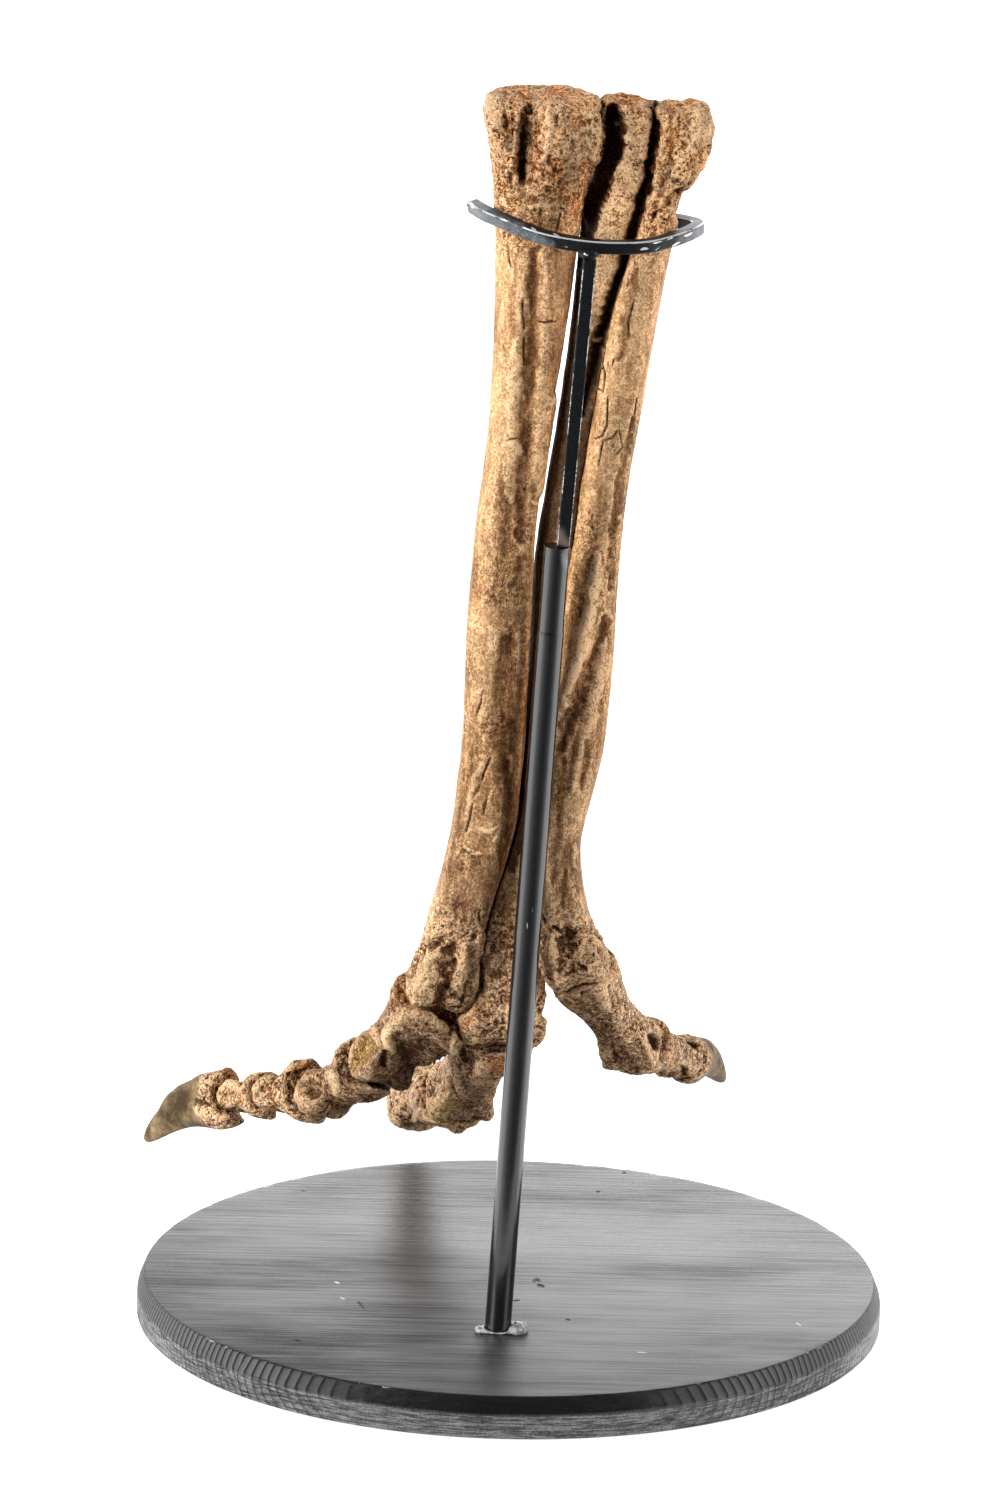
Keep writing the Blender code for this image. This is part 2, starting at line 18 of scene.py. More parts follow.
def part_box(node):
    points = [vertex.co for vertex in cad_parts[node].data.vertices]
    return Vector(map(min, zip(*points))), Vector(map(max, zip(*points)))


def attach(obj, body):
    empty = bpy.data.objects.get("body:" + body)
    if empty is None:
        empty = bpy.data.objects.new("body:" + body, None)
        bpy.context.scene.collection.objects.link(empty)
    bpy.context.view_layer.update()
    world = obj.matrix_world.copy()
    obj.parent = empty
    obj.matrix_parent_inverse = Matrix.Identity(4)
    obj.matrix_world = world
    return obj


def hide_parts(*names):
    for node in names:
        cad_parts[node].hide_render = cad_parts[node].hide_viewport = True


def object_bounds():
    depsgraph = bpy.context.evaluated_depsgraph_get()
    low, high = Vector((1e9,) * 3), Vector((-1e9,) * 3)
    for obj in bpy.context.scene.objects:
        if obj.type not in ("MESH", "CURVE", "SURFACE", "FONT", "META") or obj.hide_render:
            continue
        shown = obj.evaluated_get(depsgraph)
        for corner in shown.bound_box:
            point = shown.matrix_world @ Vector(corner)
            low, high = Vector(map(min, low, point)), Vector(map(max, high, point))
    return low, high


bl_info = {
    "name": "Mounted fossil foot",
    "version": (1, 0, 0),
    "blender": (4, 5, 0),
    "location": "View3D > Sidebar > Fossil foot",
    "description": "Dresses the mounted fossil foot and sets its studio",
    "category": "Object",
}

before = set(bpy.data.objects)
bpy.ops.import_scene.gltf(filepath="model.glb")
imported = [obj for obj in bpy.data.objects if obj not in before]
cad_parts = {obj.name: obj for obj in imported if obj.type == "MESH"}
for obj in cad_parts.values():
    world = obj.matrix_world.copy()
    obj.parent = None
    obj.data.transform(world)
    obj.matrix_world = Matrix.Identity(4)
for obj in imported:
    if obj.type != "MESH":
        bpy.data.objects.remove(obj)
CAD_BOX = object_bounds()

MM = 0.001
# Near the plain model's top, bumps are pressed down so that none stands above it
TOP_EASE = 0.0015
# A point that is sunk stays this far from the other side of its bone
FAR_WALL = 0.002
# Marks with a smaller reach than this, in points of the picture, come after the weathering
FINE_REACH = 4
# Millimetres between which a long bone turns spongy, at its top and at its lower end
TOP_SPONGY = (418, 455)
LOW_SPONGY = (160, 190)
# Millimetres left open where a bone is widened towards its neighbour
LEFT_OPEN = 0.35
# Passes of smoothing that broad and fine relief are measured against
BROAD_PASSES = 40
FINE_PASSES = 5
# Size of the camera's picture in points
PICTURE_WIDTH = 1000.0
PICTURE_HEIGHT = 1499.0

# The camera stands behind the heel and looks down a little
CAMERA_PLACE = (-0.00805, -4.28045, 1.47527)
CAMERA_TURN = (73.676, -1.286, 0.377)
CAMERA_LENS = 288.19
CAMERA_SENSOR = 36.0

# Marks on the bones: kind, reach, height in millimetres (below 0 sinks), points of its line.
# gap and deep are nearly black, painted shade in cracks, holes and recesses between the bones.
# under, pit, dusk and shadow are dark brown: painted shade under a ledge, in pits, in hollows and
# over parts that lie in shade, and shadow is a painted cast shadow. shade and veil are lighter
# brown: shade is painted shade on sides turned from the light, and veil darkens a broad stretch.
# rust is orange-brown, ochre is yellow, chip and lit are pale: chip is pale chips of bone and, on
# metatarsal_2, a painted highlight, and lit is a painted highlight on ridges. bare is as the bone,
# paled a little as a painted highlight. form raises or lowers the bone and its outline. move and
# sink shift it by millimetres along X, Y and Z, and sink stops inside the bone
BONE_MARKS = {
    "metatarsal_4": (
        ("veil", 34, 0.0, ((478, 640), (470, 780), (450, 880))),
        ("move", 30, (0.0, 4.5, 0.0), ((500, 88), (530, 84), (572, 87))),
        ("move", 14, (-1.0, 0.0, 0.3), ((486, 98), (485, 120))),
        ("form", 24, 2.6, ((598, 98), (598, 130), (595, 158))),
        ("form", 16, 1.2, ((553, 400), (546, 450), (541, 490))),
        ("shade", 20, -1.8, ((530, 100), (529, 140), (524, 185))),
        ("pit", 8, -2.8, ((527, 106), (525, 140), (521, 182))),
        ("deep", 3.4, -1.6, ((524, 126), (523, 150), (521, 178))),
        ("pit", 6, -1.0, ((535, 108), (536, 150))),
        ("bare", 20, 2.4, ((556, 108), (562, 148))),
        ("lit", 8, 1.4, ((549, 106), (549, 140), (545, 162))),
        ("lit", 12, 1.4, ((495, 96), (494, 125))),
        ("lit", 3.5, 0.6, ((598, 96), (599, 120), (597, 150))),
        ("pit", 4, -0.8, ((505, 110), (508, 150))),
        ("pit", 3, -0.6, ((512, 112), (513, 140))),
        ("dusk", 24, -1.2, ((570, 174), (556, 196), (552, 216))),
        ("rust", 14, -0.6, ((584, 118), (582, 168))),
        ("rust", 32, 0.1, ((568, 130), (560, 165), (575, 210))),
        ("shade", 14, -0.5, ((530, 200), (552, 205), (572, 200))),
        ("bare", 4, 0.5, ((530, 207), (560, 205), (572, 208))),
        ("gap", 2.2, -0.6, ((560, 214), (557, 231))),
        ("gap", 2.0, -0.5, ((507, 245), (509, 260), (511, 267))),
        ("gap", 1.6, -0.6, ((522, 296), (523, 312), (524, 328))),
        ("bare", 5, 0.4, ((529, 300), (531, 320))),
        ("gap", 1.5, -0.5, ((523, 336), (524, 366))),
        ("gap", 1.5, -0.4, ((538, 322), (556, 321))),
        ("shade", 13, -1.3, ((535, 250), (532, 330), (529, 400), (526, 470), (521, 540))),
        ("bare", 9, 0.8, ((516, 340), (512, 420), (510, 500))),
        ("dusk", 15, -0.5, ((520, 560), (517, 610), (512, 650))),
        ("dusk", 21, -0.7, ((509, 640), (508, 700), (506, 770))),
        # Painted shadow that the tube casts on metatarsal_4
        ("shadow", 19, 0.0, ((518, 628), (509, 668), (505, 720), (498, 778))),
        ("chip", 7, 0.5, ((513, 444), (517, 452))),
        ("gap", 1.8, -0.6, ((507, 440), (517, 438))),
        ("gap", 1.8, -0.7, ((524, 488), (525, 490))),
        ("chip", 2.5, 0.2, ((529, 501), (538, 504))),
        ("chip", 8, 0.2, ((490, 626), (493, 650))),
        ("gap", 1.5, -0.5, ((476, 716), (480, 704), (483, 690))),
        ("gap", 1.8, -0.6, ((490, 757), (484, 772), (482, 780))),
        ("pit", 2.6, -0.6, ((479, 786), (473, 798))),
        ("gap", 1.7, -0.6, ((472, 804), (470, 816), (466, 832))),
        ("bare", 7, 0.3, ((480, 764), (472, 790), (466, 812))),
        ("pit", 2.2, -0.5, ((486, 800), (483, 814))),
        ("chip", 2.0, 0.2, ((492, 790), (489, 802))),
        ("chip", 2.6, 0.3, ((481, 828), (489, 832), (498, 827))),
        ("chip", 2.4, 0.3, ((494, 842), (498, 836))),
        ("chip", 2.8, 0.4, ((464, 847), (470, 852), (481, 853))),
        ("gap", 1.6, -0.4, ((464, 850), (472, 855))),
        ("dusk", 12, -0.9, ((510, 765), (512, 820), (506, 885))),
        ("shade", 16, -0.4, ((450, 905), (470, 915))),
        ("gap", 2.4, -0.8, ((479, 913), (480, 922))),
        ("pit", 6, -1.4, ((429, 944), (441, 943))),
        ("lit", 7, 1.0, ((434, 955), (446, 958))),
        ("bare", 10, 1.6, ((430, 962), (422, 980), (418, 996))),
        ("form", 15, -2.6, ((450, 950), (446, 975), (440, 1002))),
        ("lit", 11, 2.0, ((466, 948), (461, 975), (458, 996))),
        ("pit", 4.5, -1.2, ((456, 996), (462, 1000))),
        ("pit", 5, -0.8, ((425, 978), (420, 990))),
        ("lit", 13, 0.6, ((430, 964), (420, 990))),
        ("form", 9, 1.2, ((480, 930), (479, 955))),
    ),
    "metatarsal_3": (
        ("move", 24, (0.0, 0.0, 1.6), ((598, 100), (618, 98))),
        (
            "sink", 23, (0.0, 12.0, 0.0),
            ((613, 114), (613, 148), (605, 175), (594, 202), (584, 230), (576, 262)),
        ),
        (
            "sink", 10, (0.0, 7.0, 0.0),
            ((655, 100), (656, 130), (651, 165), (642, 200), (630, 240), (620, 280)),
        ),
        ("sink", 10, (0.0, 5.0, 0.0), ((620, 280), (608, 312), (598, 345), (589, 378), (580, 415))),
        # deep and dusk paint the shade on metatarsal_3, which lies back between its neighbours
        ("deep", 19, 0.0, ((613, 122), (613, 142), (610, 160))),
        ("deep", 16, 0.0, ((609, 158), (599, 192), (588, 222), (580, 254))),
        ("deep", 13, 0.0, ((578, 246), (573, 310), (563, 400), (554, 480), (544, 560), (535, 620))),
        ("deep", 10, 0.0, ((537, 600), (531, 690), (524, 780), (512, 870))),
        (
            "deep", 7, 0.0,
            ((655, 104), (656, 130), (651, 165), (641, 200), (630, 240), (619, 280), (609, 312)),
        ),
        (
            "deep", 9, 0.0,
            ((612, 296), (600, 342), (592, 378), (586, 412), (581, 450), (577, 495), (573, 545)),
        ),
        ("lit", 4.5, 1.6, ((631, 112), (629, 150), (615, 190), (604, 222), (598, 244))),
        ("bare", 7, 0.8, ((645, 112), (644, 150), (634, 186), (622, 222))),
        ("shade", 5, -0.6, ((640, 140), (634, 168), (626, 190))),
        ("rust", 14, 0.2, ((608, 98), (640, 104))),
        ("dusk", 8, 0.0, ((597, 290), (592, 330), (587, 380))),
        ("dusk", 34, -0.8, ((506, 870), (502, 925), (496, 970))),
        ("dusk", 12, -0.5, ((484, 960), (482, 990))),
        ("rust", 14, 0.3, ((480, 1000), (470, 1024))),
        ("deep", 4.5, -1.8, ((456, 1049), (480, 1049), (508, 1046))),
        ("pit", 4, -0.8, ((535, 1026), (545, 1030))),
        ("form", 9, -1.8, ((541, 1002), (548, 1012))),
    ),
    "metatarsal_2": (
        ("veil", 55, 0.0, ((625, 440), (600, 560), (590, 700), (576, 850))),
        ("move", 30, (-1.2, 0.0, 1.6), ((656, 103), (680, 102))),
        ("move", 24, (0.6, 0.0, 1.6), ((700, 108), (708, 118))),
        ("form", 12, -1.6, ((688, 199), (684, 214))),
        (
            "sink", 9, (0.0, 5.0, 0.0),
            ((653, 102), (655, 130), (650, 165), (640, 205), (630, 240), (620, 275)),
        ),
        (
            "deep", 5, 0.0,
            ((653, 104), (655, 130), (650, 165), (641, 200), (630, 240), (619, 280), (609, 312)),
        ),
        ("deep", 6, 0.0, ((611, 306), (600, 345), (591, 375), (583, 412), (578, 450), (574, 495))),
        # lit and chip paint a highlight on the top right of metatarsal_2
        ("lit", 16, 1.4, ((699, 118), (696, 138))),
        ("chip", 12, 0.2, ((696, 120), (707, 129))),
        ("pit", 7, -1.0, ((672, 118), (668, 160), (660, 195))),
        ("bare", 4, 0.9, ((659, 108), (657, 140), (652, 172))),
        ("shade", 12, -1.2, ((700, 178), (684, 192), (668, 202))),
        ("gap", 5.0, -1.6, ((680, 192), (690, 196))),
        ("gap", 2.2, -0.9, ((660, 217), (668, 221))),
        ("pit", 3.0, -0.8, ((664, 205), (656, 212), (651, 222))),
        ("bare", 5, 1.0, ((650, 214), (660, 208), (676, 208))),
        ("shade", 9, -0.7, ((636, 270), (626, 330), (620, 360))),
        ("gap", 1.7, -0.6, ((634, 300), (628, 322), (629, 340))),
        ("gap", 1.5, -0.6, ((614, 358), (612, 366))),
        ("gap", 1.5, -0.6, ((601, 362), (605, 374), (603, 392), (598, 389))),
        ("gap", 1.4, -0.6, ((608, 396), (607, 424), (602, 436), (594, 439))),
        ("gap", 1.4, -0.6, ((618, 430), (612, 438), (603, 441), (598, 467))),
        ("gap", 1.3, -0.5, ((612, 442), (617, 455), (623, 447), (619, 430))),
        ("chip", 2.2, 0.2, ((614, 449), (619, 446))),
        ("gap", 1.4, -0.5, ((637, 398), (635, 416))),
        ("chip", 2.0, 0.1, ((591, 492), (595, 494))),
        ("gap", 1.3, -0.4, ((592, 514), (593, 516))),
        ("gap", 1.5, -0.5, ((591, 527), (593, 528))),
        ("dusk", 8, -1.2, ((634, 420), (622, 480), (614, 530), (612, 590))),
        ("lit", 11, 1.9, ((597, 556), (590, 606), (579, 650), (567, 688), (557, 718))),
        ("dusk", 13, -1.8, ((606, 620), (598, 652), (585, 688), (571, 716), (560, 748))),
        ("gap", 1.6, -0.5, ((618, 580), (616, 612))),
        ("bare", 9, 1.2, ((604, 640), (594, 700), (582, 750), (572, 790))),
        ("dusk", 6, -0.6, ((588, 742), (581, 790))),
        ("shade", 9, -0.6, ((562, 760), (556, 830), (552, 880))),
        ("form", 7, 0.8, ((575, 846), (574, 866))),
        ("shade", 7, -0.4, ((566, 870), (562, 905))),
        ("gap", 3.4, -1.8, ((553, 927), (561, 933))),
        ("gap", 3.5, -1.5, ((541, 914), (545, 924))),
        ("lit", 9, 1.9, ((551, 935), (553, 965), (556, 984))),
        ("form", 15, -1.9, ((569, 938), (574, 972))),
        ("lit", 4, 1.4, ((577, 935), (592, 937), (603, 950), (607, 966))),
        ("shade", 12, -0.8, ((590, 953), (588, 962))),
        ("gap", 4.0, -1.0, ((580, 966), (586, 970))),
    ),
    "toe_2_phalanx_1": (
        ("rust", 10, 0.4, ((600, 978), (612, 972))),
        ("gap", 5, -1.8, ((582, 994), (594, 988))),
        ("bare", 9, 1.6, ((600, 990), (604, 1006))),
        ("shade", 18, -0.4, ((560, 1000), (600, 1022), (620, 1050))),
        ("bare", 6, 0.9, ((543, 990), (570, 1008), (598, 1022))),
        ("gap", 6, -2.6, ((652, 1036), (657, 1046))),
        ("bare", 5, 1.0, ((644, 1030), (645, 1050), (655, 1068))),
        ("bare", 5, 0.9, ((655, 1026), (664, 1040), (664, 1060))),
        ("shade", 5, -0.6, ((612, 1040), (615, 1060))),
        ("form", 8, 1.4, ((605, 1064), (640, 1070))),
    ),
    "toe_2_phalanx_2": (
        ("rust", 6, 0.8, ((640, 1012), (655, 1018), (668, 1034), (672, 1055), (665, 1073))),
        ("gap", 5, -2.4, ((690, 1040), (696, 1046))),
        ("chip", 2.5, 0.3, ((694, 1051), (696, 1053))),
        ("pit", 6, -1.5, ((684, 1070), (684, 1078))),
        ("bare", 6, 0.8, ((704, 1040), (708, 1060))),
    ),
    "toe_2_claw": (
        ("ochre", 6, 0.6, ((676, 1031), (690, 1025), (704, 1034))),
        ("rust", 4, 0.4, ((706, 1044), (711, 1058))),
    ),
    "toe_3_phalanx_1": (
        ("dusk", 12, -3.5, ((463, 1052), (470, 1062))),
        ("deep", 5, -0.6, ((462, 1051), (466, 1060))),
        ("gap", 6, -1.6, ((484, 1052), (506, 1050))),
        ("bare", 10, 2.0, ((484, 1066), (478, 1078))),
        ("rust", 12, 0.4, ((488, 1064), (508, 1062))),
        ("bare", 7, 1.6, ((449, 1054), (458, 1074), (462, 1088))),
        ("shade", 14, -0.9, ((480, 1092), (470, 1105))),
        ("pit", 7, -1.8, ((437, 1082), (432, 1094))),
        ("bare", 6, 1.4, ((450, 1075), (452, 1095))),
        ("ochre", 12, 1.4, ((448, 1100), (436, 1116))),
        ("bare", 4, 1.6, ((494, 1084), (497, 1102), (499, 1112))),
        ("form", 9, 1.6, ((488, 1116), (496, 1114))),
        ("pit", 6, -1.2, ((475, 1120), (482, 1122))),
    ),
    "toe_3_phalanx_2": (
        ("bare", 4, 1.2, ((414, 1089), (404, 1103), (399, 1114), (402, 1130))),
        ("pit", 4, -0.9, ((418, 1100), (410, 1118))),
        ("bare", 4, 0.9, ((420, 1112), (414, 1126))),
        ("form", 8, 1.8, ((456, 1130), (462, 1134))),
        ("form", 12, -0.9, ((425, 1130), (440, 1130))),
    ),
    "toe_3_phalanx_3": (
        ("shade", 6, -0.5, ((392, 1095), (392, 1112))),
    ),
    "toe_4_phalanx_1": (
        ("move", 36, (2.5, 0.0, -9.5), ((450, 1022), (432, 1040))),
        ("move", 20, (0.5, 0.0, -2.5), ((400, 1060), (406, 1078))),
        ("form", 10, 1.3, ((389, 1046), (396, 1030), (410, 1021), (426, 1022), (440, 1034), (451, 1052))),
        ("sink", 22, (0.0, 6.5, 0.0), ((408, 1056), (424, 1054), (438, 1060))),
        # deep, dusk and under paint the shade over the first bone of toe IV and beneath its heel
        ("deep", 14, 0.0, ((408, 1072), (398, 1084))),
        ("dusk", 110, 0.0, ((360, 1040), (420, 1060))),
        ("rust", 18, -1.0, ((398, 996), (425, 1008), (446, 1022))),
        ("rust", 12, 0.2, ((394, 980), (402, 1008))),
        ("pit", 9, -1.8, ((430, 1010), (444, 1020), (448, 1034))),
        ("lit", 11, 0.9, ((386, 1036), (397, 1019), (412, 1010), (428, 1014), (444, 1030))),
        ("lit", 6, 1.6, ((389, 1036), (391, 1048))),
        ("lit", 5, 1.6, ((453, 1028), (453, 1050))),
        ("under", 16, 0.0, ((405, 1051), (420, 1046), (436, 1051))),
        ("dusk", 16, 0.0, ((398, 1066), (420, 1060), (440, 1060))),
        ("ochre", 19, -1.6, ((366, 1044), (352, 1062))),
        ("pit", 4, -0.6, ((362, 1052), (356, 1064))),
        ("lit", 5, 1.6, ((341, 1044), (341, 1060), (350, 1074))),
        ("lit", 5, 1.2, ((374, 1026), (381, 1044))),
        ("deep", 6, -1.4, ((386, 1052), (384, 1064))),
        ("form", 8, 1.2, ((398, 1084), (406, 1085))),
    ),
    "toe_4_phalanx_2": (
        ("dusk", 50, 0.0, ((310, 1090), (370, 1090))),
        ("deep", 5, -0.8, ((362, 1074), (376, 1086), (392, 1090))),
        ("chip", 8, 0.8, ((330, 1074), (338, 1090))),
        ("pit", 7, -2.2, ((310, 1092), (316, 1094))),
        ("lit", 9, 0.6, ((294, 1088), (300, 1098))),
        ("shade", 9, -0.8, ((330, 1100), (345, 1108))),
        ("form", 8, 1.6, ((362, 1106), (368, 1107))),
        ("bare", 4, 0.8, ((345, 1082), (352, 1090))),
    ),
    "toe_4_phalanx_3": (
        ("move", 15, (0.0, 0.0, 3.2), ((290, 1074), (310, 1070))),
        ("rust", 5, 1.0, ((286, 1074), (296, 1064), (310, 1062))),
        ("gap", 2.5, -0.9, ((283, 1084), (290, 1072))),
        ("lit", 8, 0.6, ((254, 1088), (260, 1096))),
        ("rust", 4, -0.6, ((270, 1090), (275, 1108), (284, 1112))),
        ("shade", 6, -0.7, ((262, 1110), (276, 1114))),
    ),
    "toe_4_phalanx_4": (
        ("ochre", 7, 0.8, ((215, 1090), (222, 1100))),
        ("chip", 5, 0.7, ((230, 1083), (238, 1088))),
        ("rust", 5, -0.8, ((243, 1092), (240, 1102))),
        ("pit", 4, -0.9, ((222, 1112), (236, 1108))),
    ),
    "toe_4_claw": (
        ("move", 24, (0.0, 0.0, 2.4), ((226, 1080), (206, 1084))),
        ("move", 16, (-0.6, 0.0, 1.4), ((185, 1092), (170, 1102))),
        ("chip", 6, 0.8, ((198, 1110), (206, 1118))),
        ("ochre", 6, 0.7, ((212, 1096), (216, 1106))),
        ("rust", 10, 0.5, ((222, 1070), (232, 1078))),
        ("pit", 5, -0.8, ((196, 1100), (208, 1104))),
        ("shade", 8, -0.4, ((150, 1136), (146, 1128))),
    ),
}

# How far each kind of mark tints the surface. The dark tint of pit, gap, deep, under, shadow, dusk
# and shade is painted shade, and the pale tint of lit and bare is painted highlight
MARK_TINTS = {
    "pit": {"dark": 0.5},
    "gap": {"dark": 1.0},
    "deep": {"dark": 0.92},
    "under": {"dark": 0.62},
    "shadow": {"dark": 0.45, "rust": 0.15},
    "dusk": {"dark": 0.5, "rust": 0.1},
    "shade": {"dark": 0.35, "rust": 0.1},
    "veil": {"dark": 0.2},
    "rust": {"dark": 0.1, "rust": 0.9},
    "ochre": {"dark": 0.1, "rust": 0.2, "ochre": 1.0},
    "chip": {"pale": 1.0},
    "bare": {"pale": 0.15},
    "lit": {"pale": 0.65},
    "form": {},
    "move": {},
    "sink": {},
    "metal": {"metal": 1.0},
    "scuff": {"metal": 0.5},
    "burnt": {"burnt": 1.0},
    "dusty": {"dusty": 1.0},
}

# From where to where a kind of mark fades in, by how squarely the surface faces the camera
MARK_FACING = {"sink": (-0.7, 0.1), "deep": (-0.6, -0.1), "form": None, "move": None}
USUAL_FACING = (-0.05, 0.3)

# Marks on the steel holder, written as those on the bones
STEEL_MARKS = {
    "support_ring": (
        ("dusty", 14, 0.0, ((474, 210), (500, 226), (528, 238), (548, 244))),
        ("dusty", 9, 0.0, ((684, 240), (700, 234), (704, 232))),
        ("metal", 2.4, -0.05, ((471, 203), (473, 207))),
        ("metal", 1.6, -0.05, ((532, 228), (535, 230))),
        ("metal", 1.8, -0.05, ((554, 234), (558, 236))),
        ("scuff", 1.4, -0.03, ((563, 246), (569, 248))),
        ("metal", 1.3, -0.05, ((628, 243), (640, 243))),
        ("metal", 2.6, -0.05, ((640, 250), (647, 249))),
        ("metal", 1.6, -0.05, ((655, 251), (660, 247))),
        ("metal", 2.2, -0.05, ((673, 246), (680, 242))),
        ("metal", 1.8, -0.05, ((684, 236), (692, 233))),
        ("scuff", 1.6, -0.05, ((650, 244), (664, 241), (676, 236))),
    ),
    "post_bar": (
        ("metal", 1.6, -0.05, ((593, 271), (593, 273))),
        ("scuff", 1.0, -0.03, ((568, 432), (566, 445))),
        ("burnt", 8, 0.1, ((560, 534), (565, 545))),
    ),
    "weld_bead": (
        ("metal", 2.0, 0.1, ((585, 248), (594, 246))),
        ("metal", 2.2, 0.1, ((598, 249), (606, 246))),
        ("metal", 1.8, 0.1, ((584, 254), (589, 256))),
    ),
    "post_tube": (
        ("scuff", 1.6, 0.0, ((544, 547), (551, 548))),
        ("scuff", 1.6, 0.0, ((556, 549), (569, 548))),
        ("dusty", 6, 0.0, ((560, 552), (567, 566))),
        ("scuff", 1.2, -0.04, ((531, 903), (533, 912), (530, 920))),
        ("scuff", 1.4, -0.04, ((527, 924), (527, 927))),
    ),
}

# The weld is carried up to where the bar meets the ring
WELD_SHIFT = ("move", 22, (-0.6, -1.9, 1.8), ((592, 254), (600, 256)))

# Lumps of the glue round the tube
GLUE_MARKS = (
    ("form", 10, 1.5, ((516, 1329), (527, 1331))),
    ("form", 6, 0.9, ((474, 1325), (478, 1332))),
    ("form", 4, -0.9, ((484, 1340), (505, 1342))),
    ("form", 5, -0.8, ((486, 1322), (505, 1320))),
)

# Pits and crumbs on the top of the base; the pits carry painted shade
BASE_MARKS = (
    ("gap", 3.0, -0.5, ((535, 1282), (538, 1280))),
    ("gap", 3.0, -0.5, ((539, 1286), (542, 1287))),
    ("gap", 1.6, -0.3, ((514, 1301), (519, 1300))),
    ("gap", 1.6, -0.3, ((567, 1320), (569, 1320))),
    ("gap", 1.5, -0.3, ((597, 1192), (599, 1192))),
    ("gap", 1.4, -0.3, ((623, 1173), (625, 1173))),
    ("gap", 1.5, -0.3, ((359, 1302), (364, 1308))),
    ("gap", 1.5, -0.2, ((295, 1340), (300, 1341))),
    ("gap", 1.4, -0.2, ((302, 1191), (304, 1192))),
    ("metal", 1.5, 0.1, ((335, 1282), (339, 1283))),
    ("metal", 1.3, 0.1, ((341, 1298), (344, 1299))),
    ("metal", 1.2, 0.1, ((796, 1323), (801, 1326))),
    ("metal", 1.2, 0.1, ((638, 1352), (646, 1353))),
)

# Where each claw's blade starts and ends
CLAW_ENDS = (
    ("toe_2_claw", (0.0612, 0.0421, 0.0909), (0.0802, 0.076, 0.0706)),
    ("toe_3_claw", (-0.0376, 0.1484, 0.04), (-0.0386, 0.191, 0.025)),
    ("toe_4_claw", (-0.1034, 0.0272, 0.0752), (-0.14, 0.0498, 0.0498)),
)


def only(piece):
    """Make one object the only one selected."""
    bpy.ops.object.select_all(action="DESELECT")
    piece.select_set(True)
    bpy.context.view_layer.objects.active = piece


def add_modifier(piece, name, kind, **settings):
    """Add a modifier and apply it."""
    only(piece)
    modifier = piece.modifiers.new(name, kind)
    for setting, value in settings.items():
        setattr(modifier, setting, value)
    bpy.ops.object.modifier_apply(modifier=modifier.name)


def name_piece(piece, name, material):
    """Name an object and its mesh and give it its only material."""
    piece.name = name
    piece.data.name = name
    piece.data.materials.clear()
    piece.data.materials.append(material)


def place_in_mesh(piece):
    """Move an object's place, turn and size into its mesh."""
    only(piece)
    bpy.ops.object.transform_apply(location=True, rotation=True, scale=True)


def finish_piece(piece, slot, *nodes):
    """Let a piece ride on the foot and stand for its node."""
    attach(piece, "root")
    if nodes:
        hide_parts(*nodes)


def camera_matrix():
    """Place and turn of the camera."""
    turn = [math.radians(value) for value in CAMERA_TURN]
    x_turn = Matrix.Rotation(turn[0], 4, "X")
    y_turn = Matrix.Rotation(turn[1], 4, "Y")
    z_turn = Matrix.Rotation(turn[2], 4, "Z")
    return Matrix.Translation(CAMERA_PLACE) @ z_turn @ y_turn @ x_turn


def picture_points(places):
    """Where places in metres stand in the camera's picture."""
    inverse = np.array(camera_matrix().inverted())
    seen = places @ inverse[:3, :3].T + inverse[:3, 3]
    focal = CAMERA_LENS / CAMERA_SENSOR * PICTURE_HEIGHT
    across = PICTURE_WIDTH / 2 - focal * seen[:, 0] / seen[:, 2]
    down = PICTURE_HEIGHT / 2 + focal * seen[:, 1] / seen[:, 2]
    return np.stack([across, down], axis=1)


def scramble(cells, seed):
    """Even random numbers from 0 to 1 for whole-number cells."""
    mixed = cells[..., 0] * 73856093 ^ cells[..., 1] * 19349663
    mixed = mixed ^ cells[..., 2] * 83492791 ^ seed * 2654435
    mixed = (mixed ^ (mixed >> 13)) * 1274126177 & 0x7FFFFFFF
    mixed = (mixed ^ (mixed >> 11)) * 668265263 & 0x7FFFFFFF
    return ((mixed ^ (mixed >> 15)) & 0xFFFFF) / 0xFFFFF


def cloud_noise(places, size, seed):
    """Smooth noise from -1 to 1 whose lumps have the given size."""
    scaled = places / size
    cells = np.floor(scaled).astype(np.int64)
    share = scaled - cells
    share = share * share * (3 - 2 * share)
    total = np.zeros(len(places))
    for corner in itertools.product((0, 1), repeat=3):
        step = np.array(corner)
        weight = np.prod(np.where(step == 1, share, 1 - share), axis=1)
        total += weight * scramble(cells + step, seed)
    return total * 2 - 1


def layered_noise(places, size, seed, layers=3):
    """Clouds of noise, each layer half the size and strength of the one before."""
    total = np.zeros(len(places))
    for layer in range(layers):
        total += cloud_noise(places, size / 2 ** layer, seed + layer) / 2 ** layer
    return total / (2 - 2 ** (1 - layers))


def pore_noise(places, size, seed):
    """Round pores: 1 in the middle of a pore and 0 between them."""
    scaled = places / size
    cells = np.floor(scaled).astype(np.int64)
    nearest = np.full(len(places), 9.0)
    for step in itertools.product((-1, 0, 1), repeat=3):
        near = cells + np.array(step)
        heart = np.stack([scramble(near, seed + axis) for axis in range(3)], axis=1) + near
        wide = 0.6 + 0.8 * scramble(near, seed + 3)
        gap = np.sqrt(((scaled - heart) ** 2).sum(axis=1)) / wide
        nearest = np.minimum(nearest, gap)
    return np.clip(1 - nearest * 2.0, 0, 1)


def smooth_share(value, low, high):
    """0 below low, 1 above high, smooth between."""
    share = np.clip((value - low) / (high - low), 0, 1)
    return share * share * (3 - 2 * share)


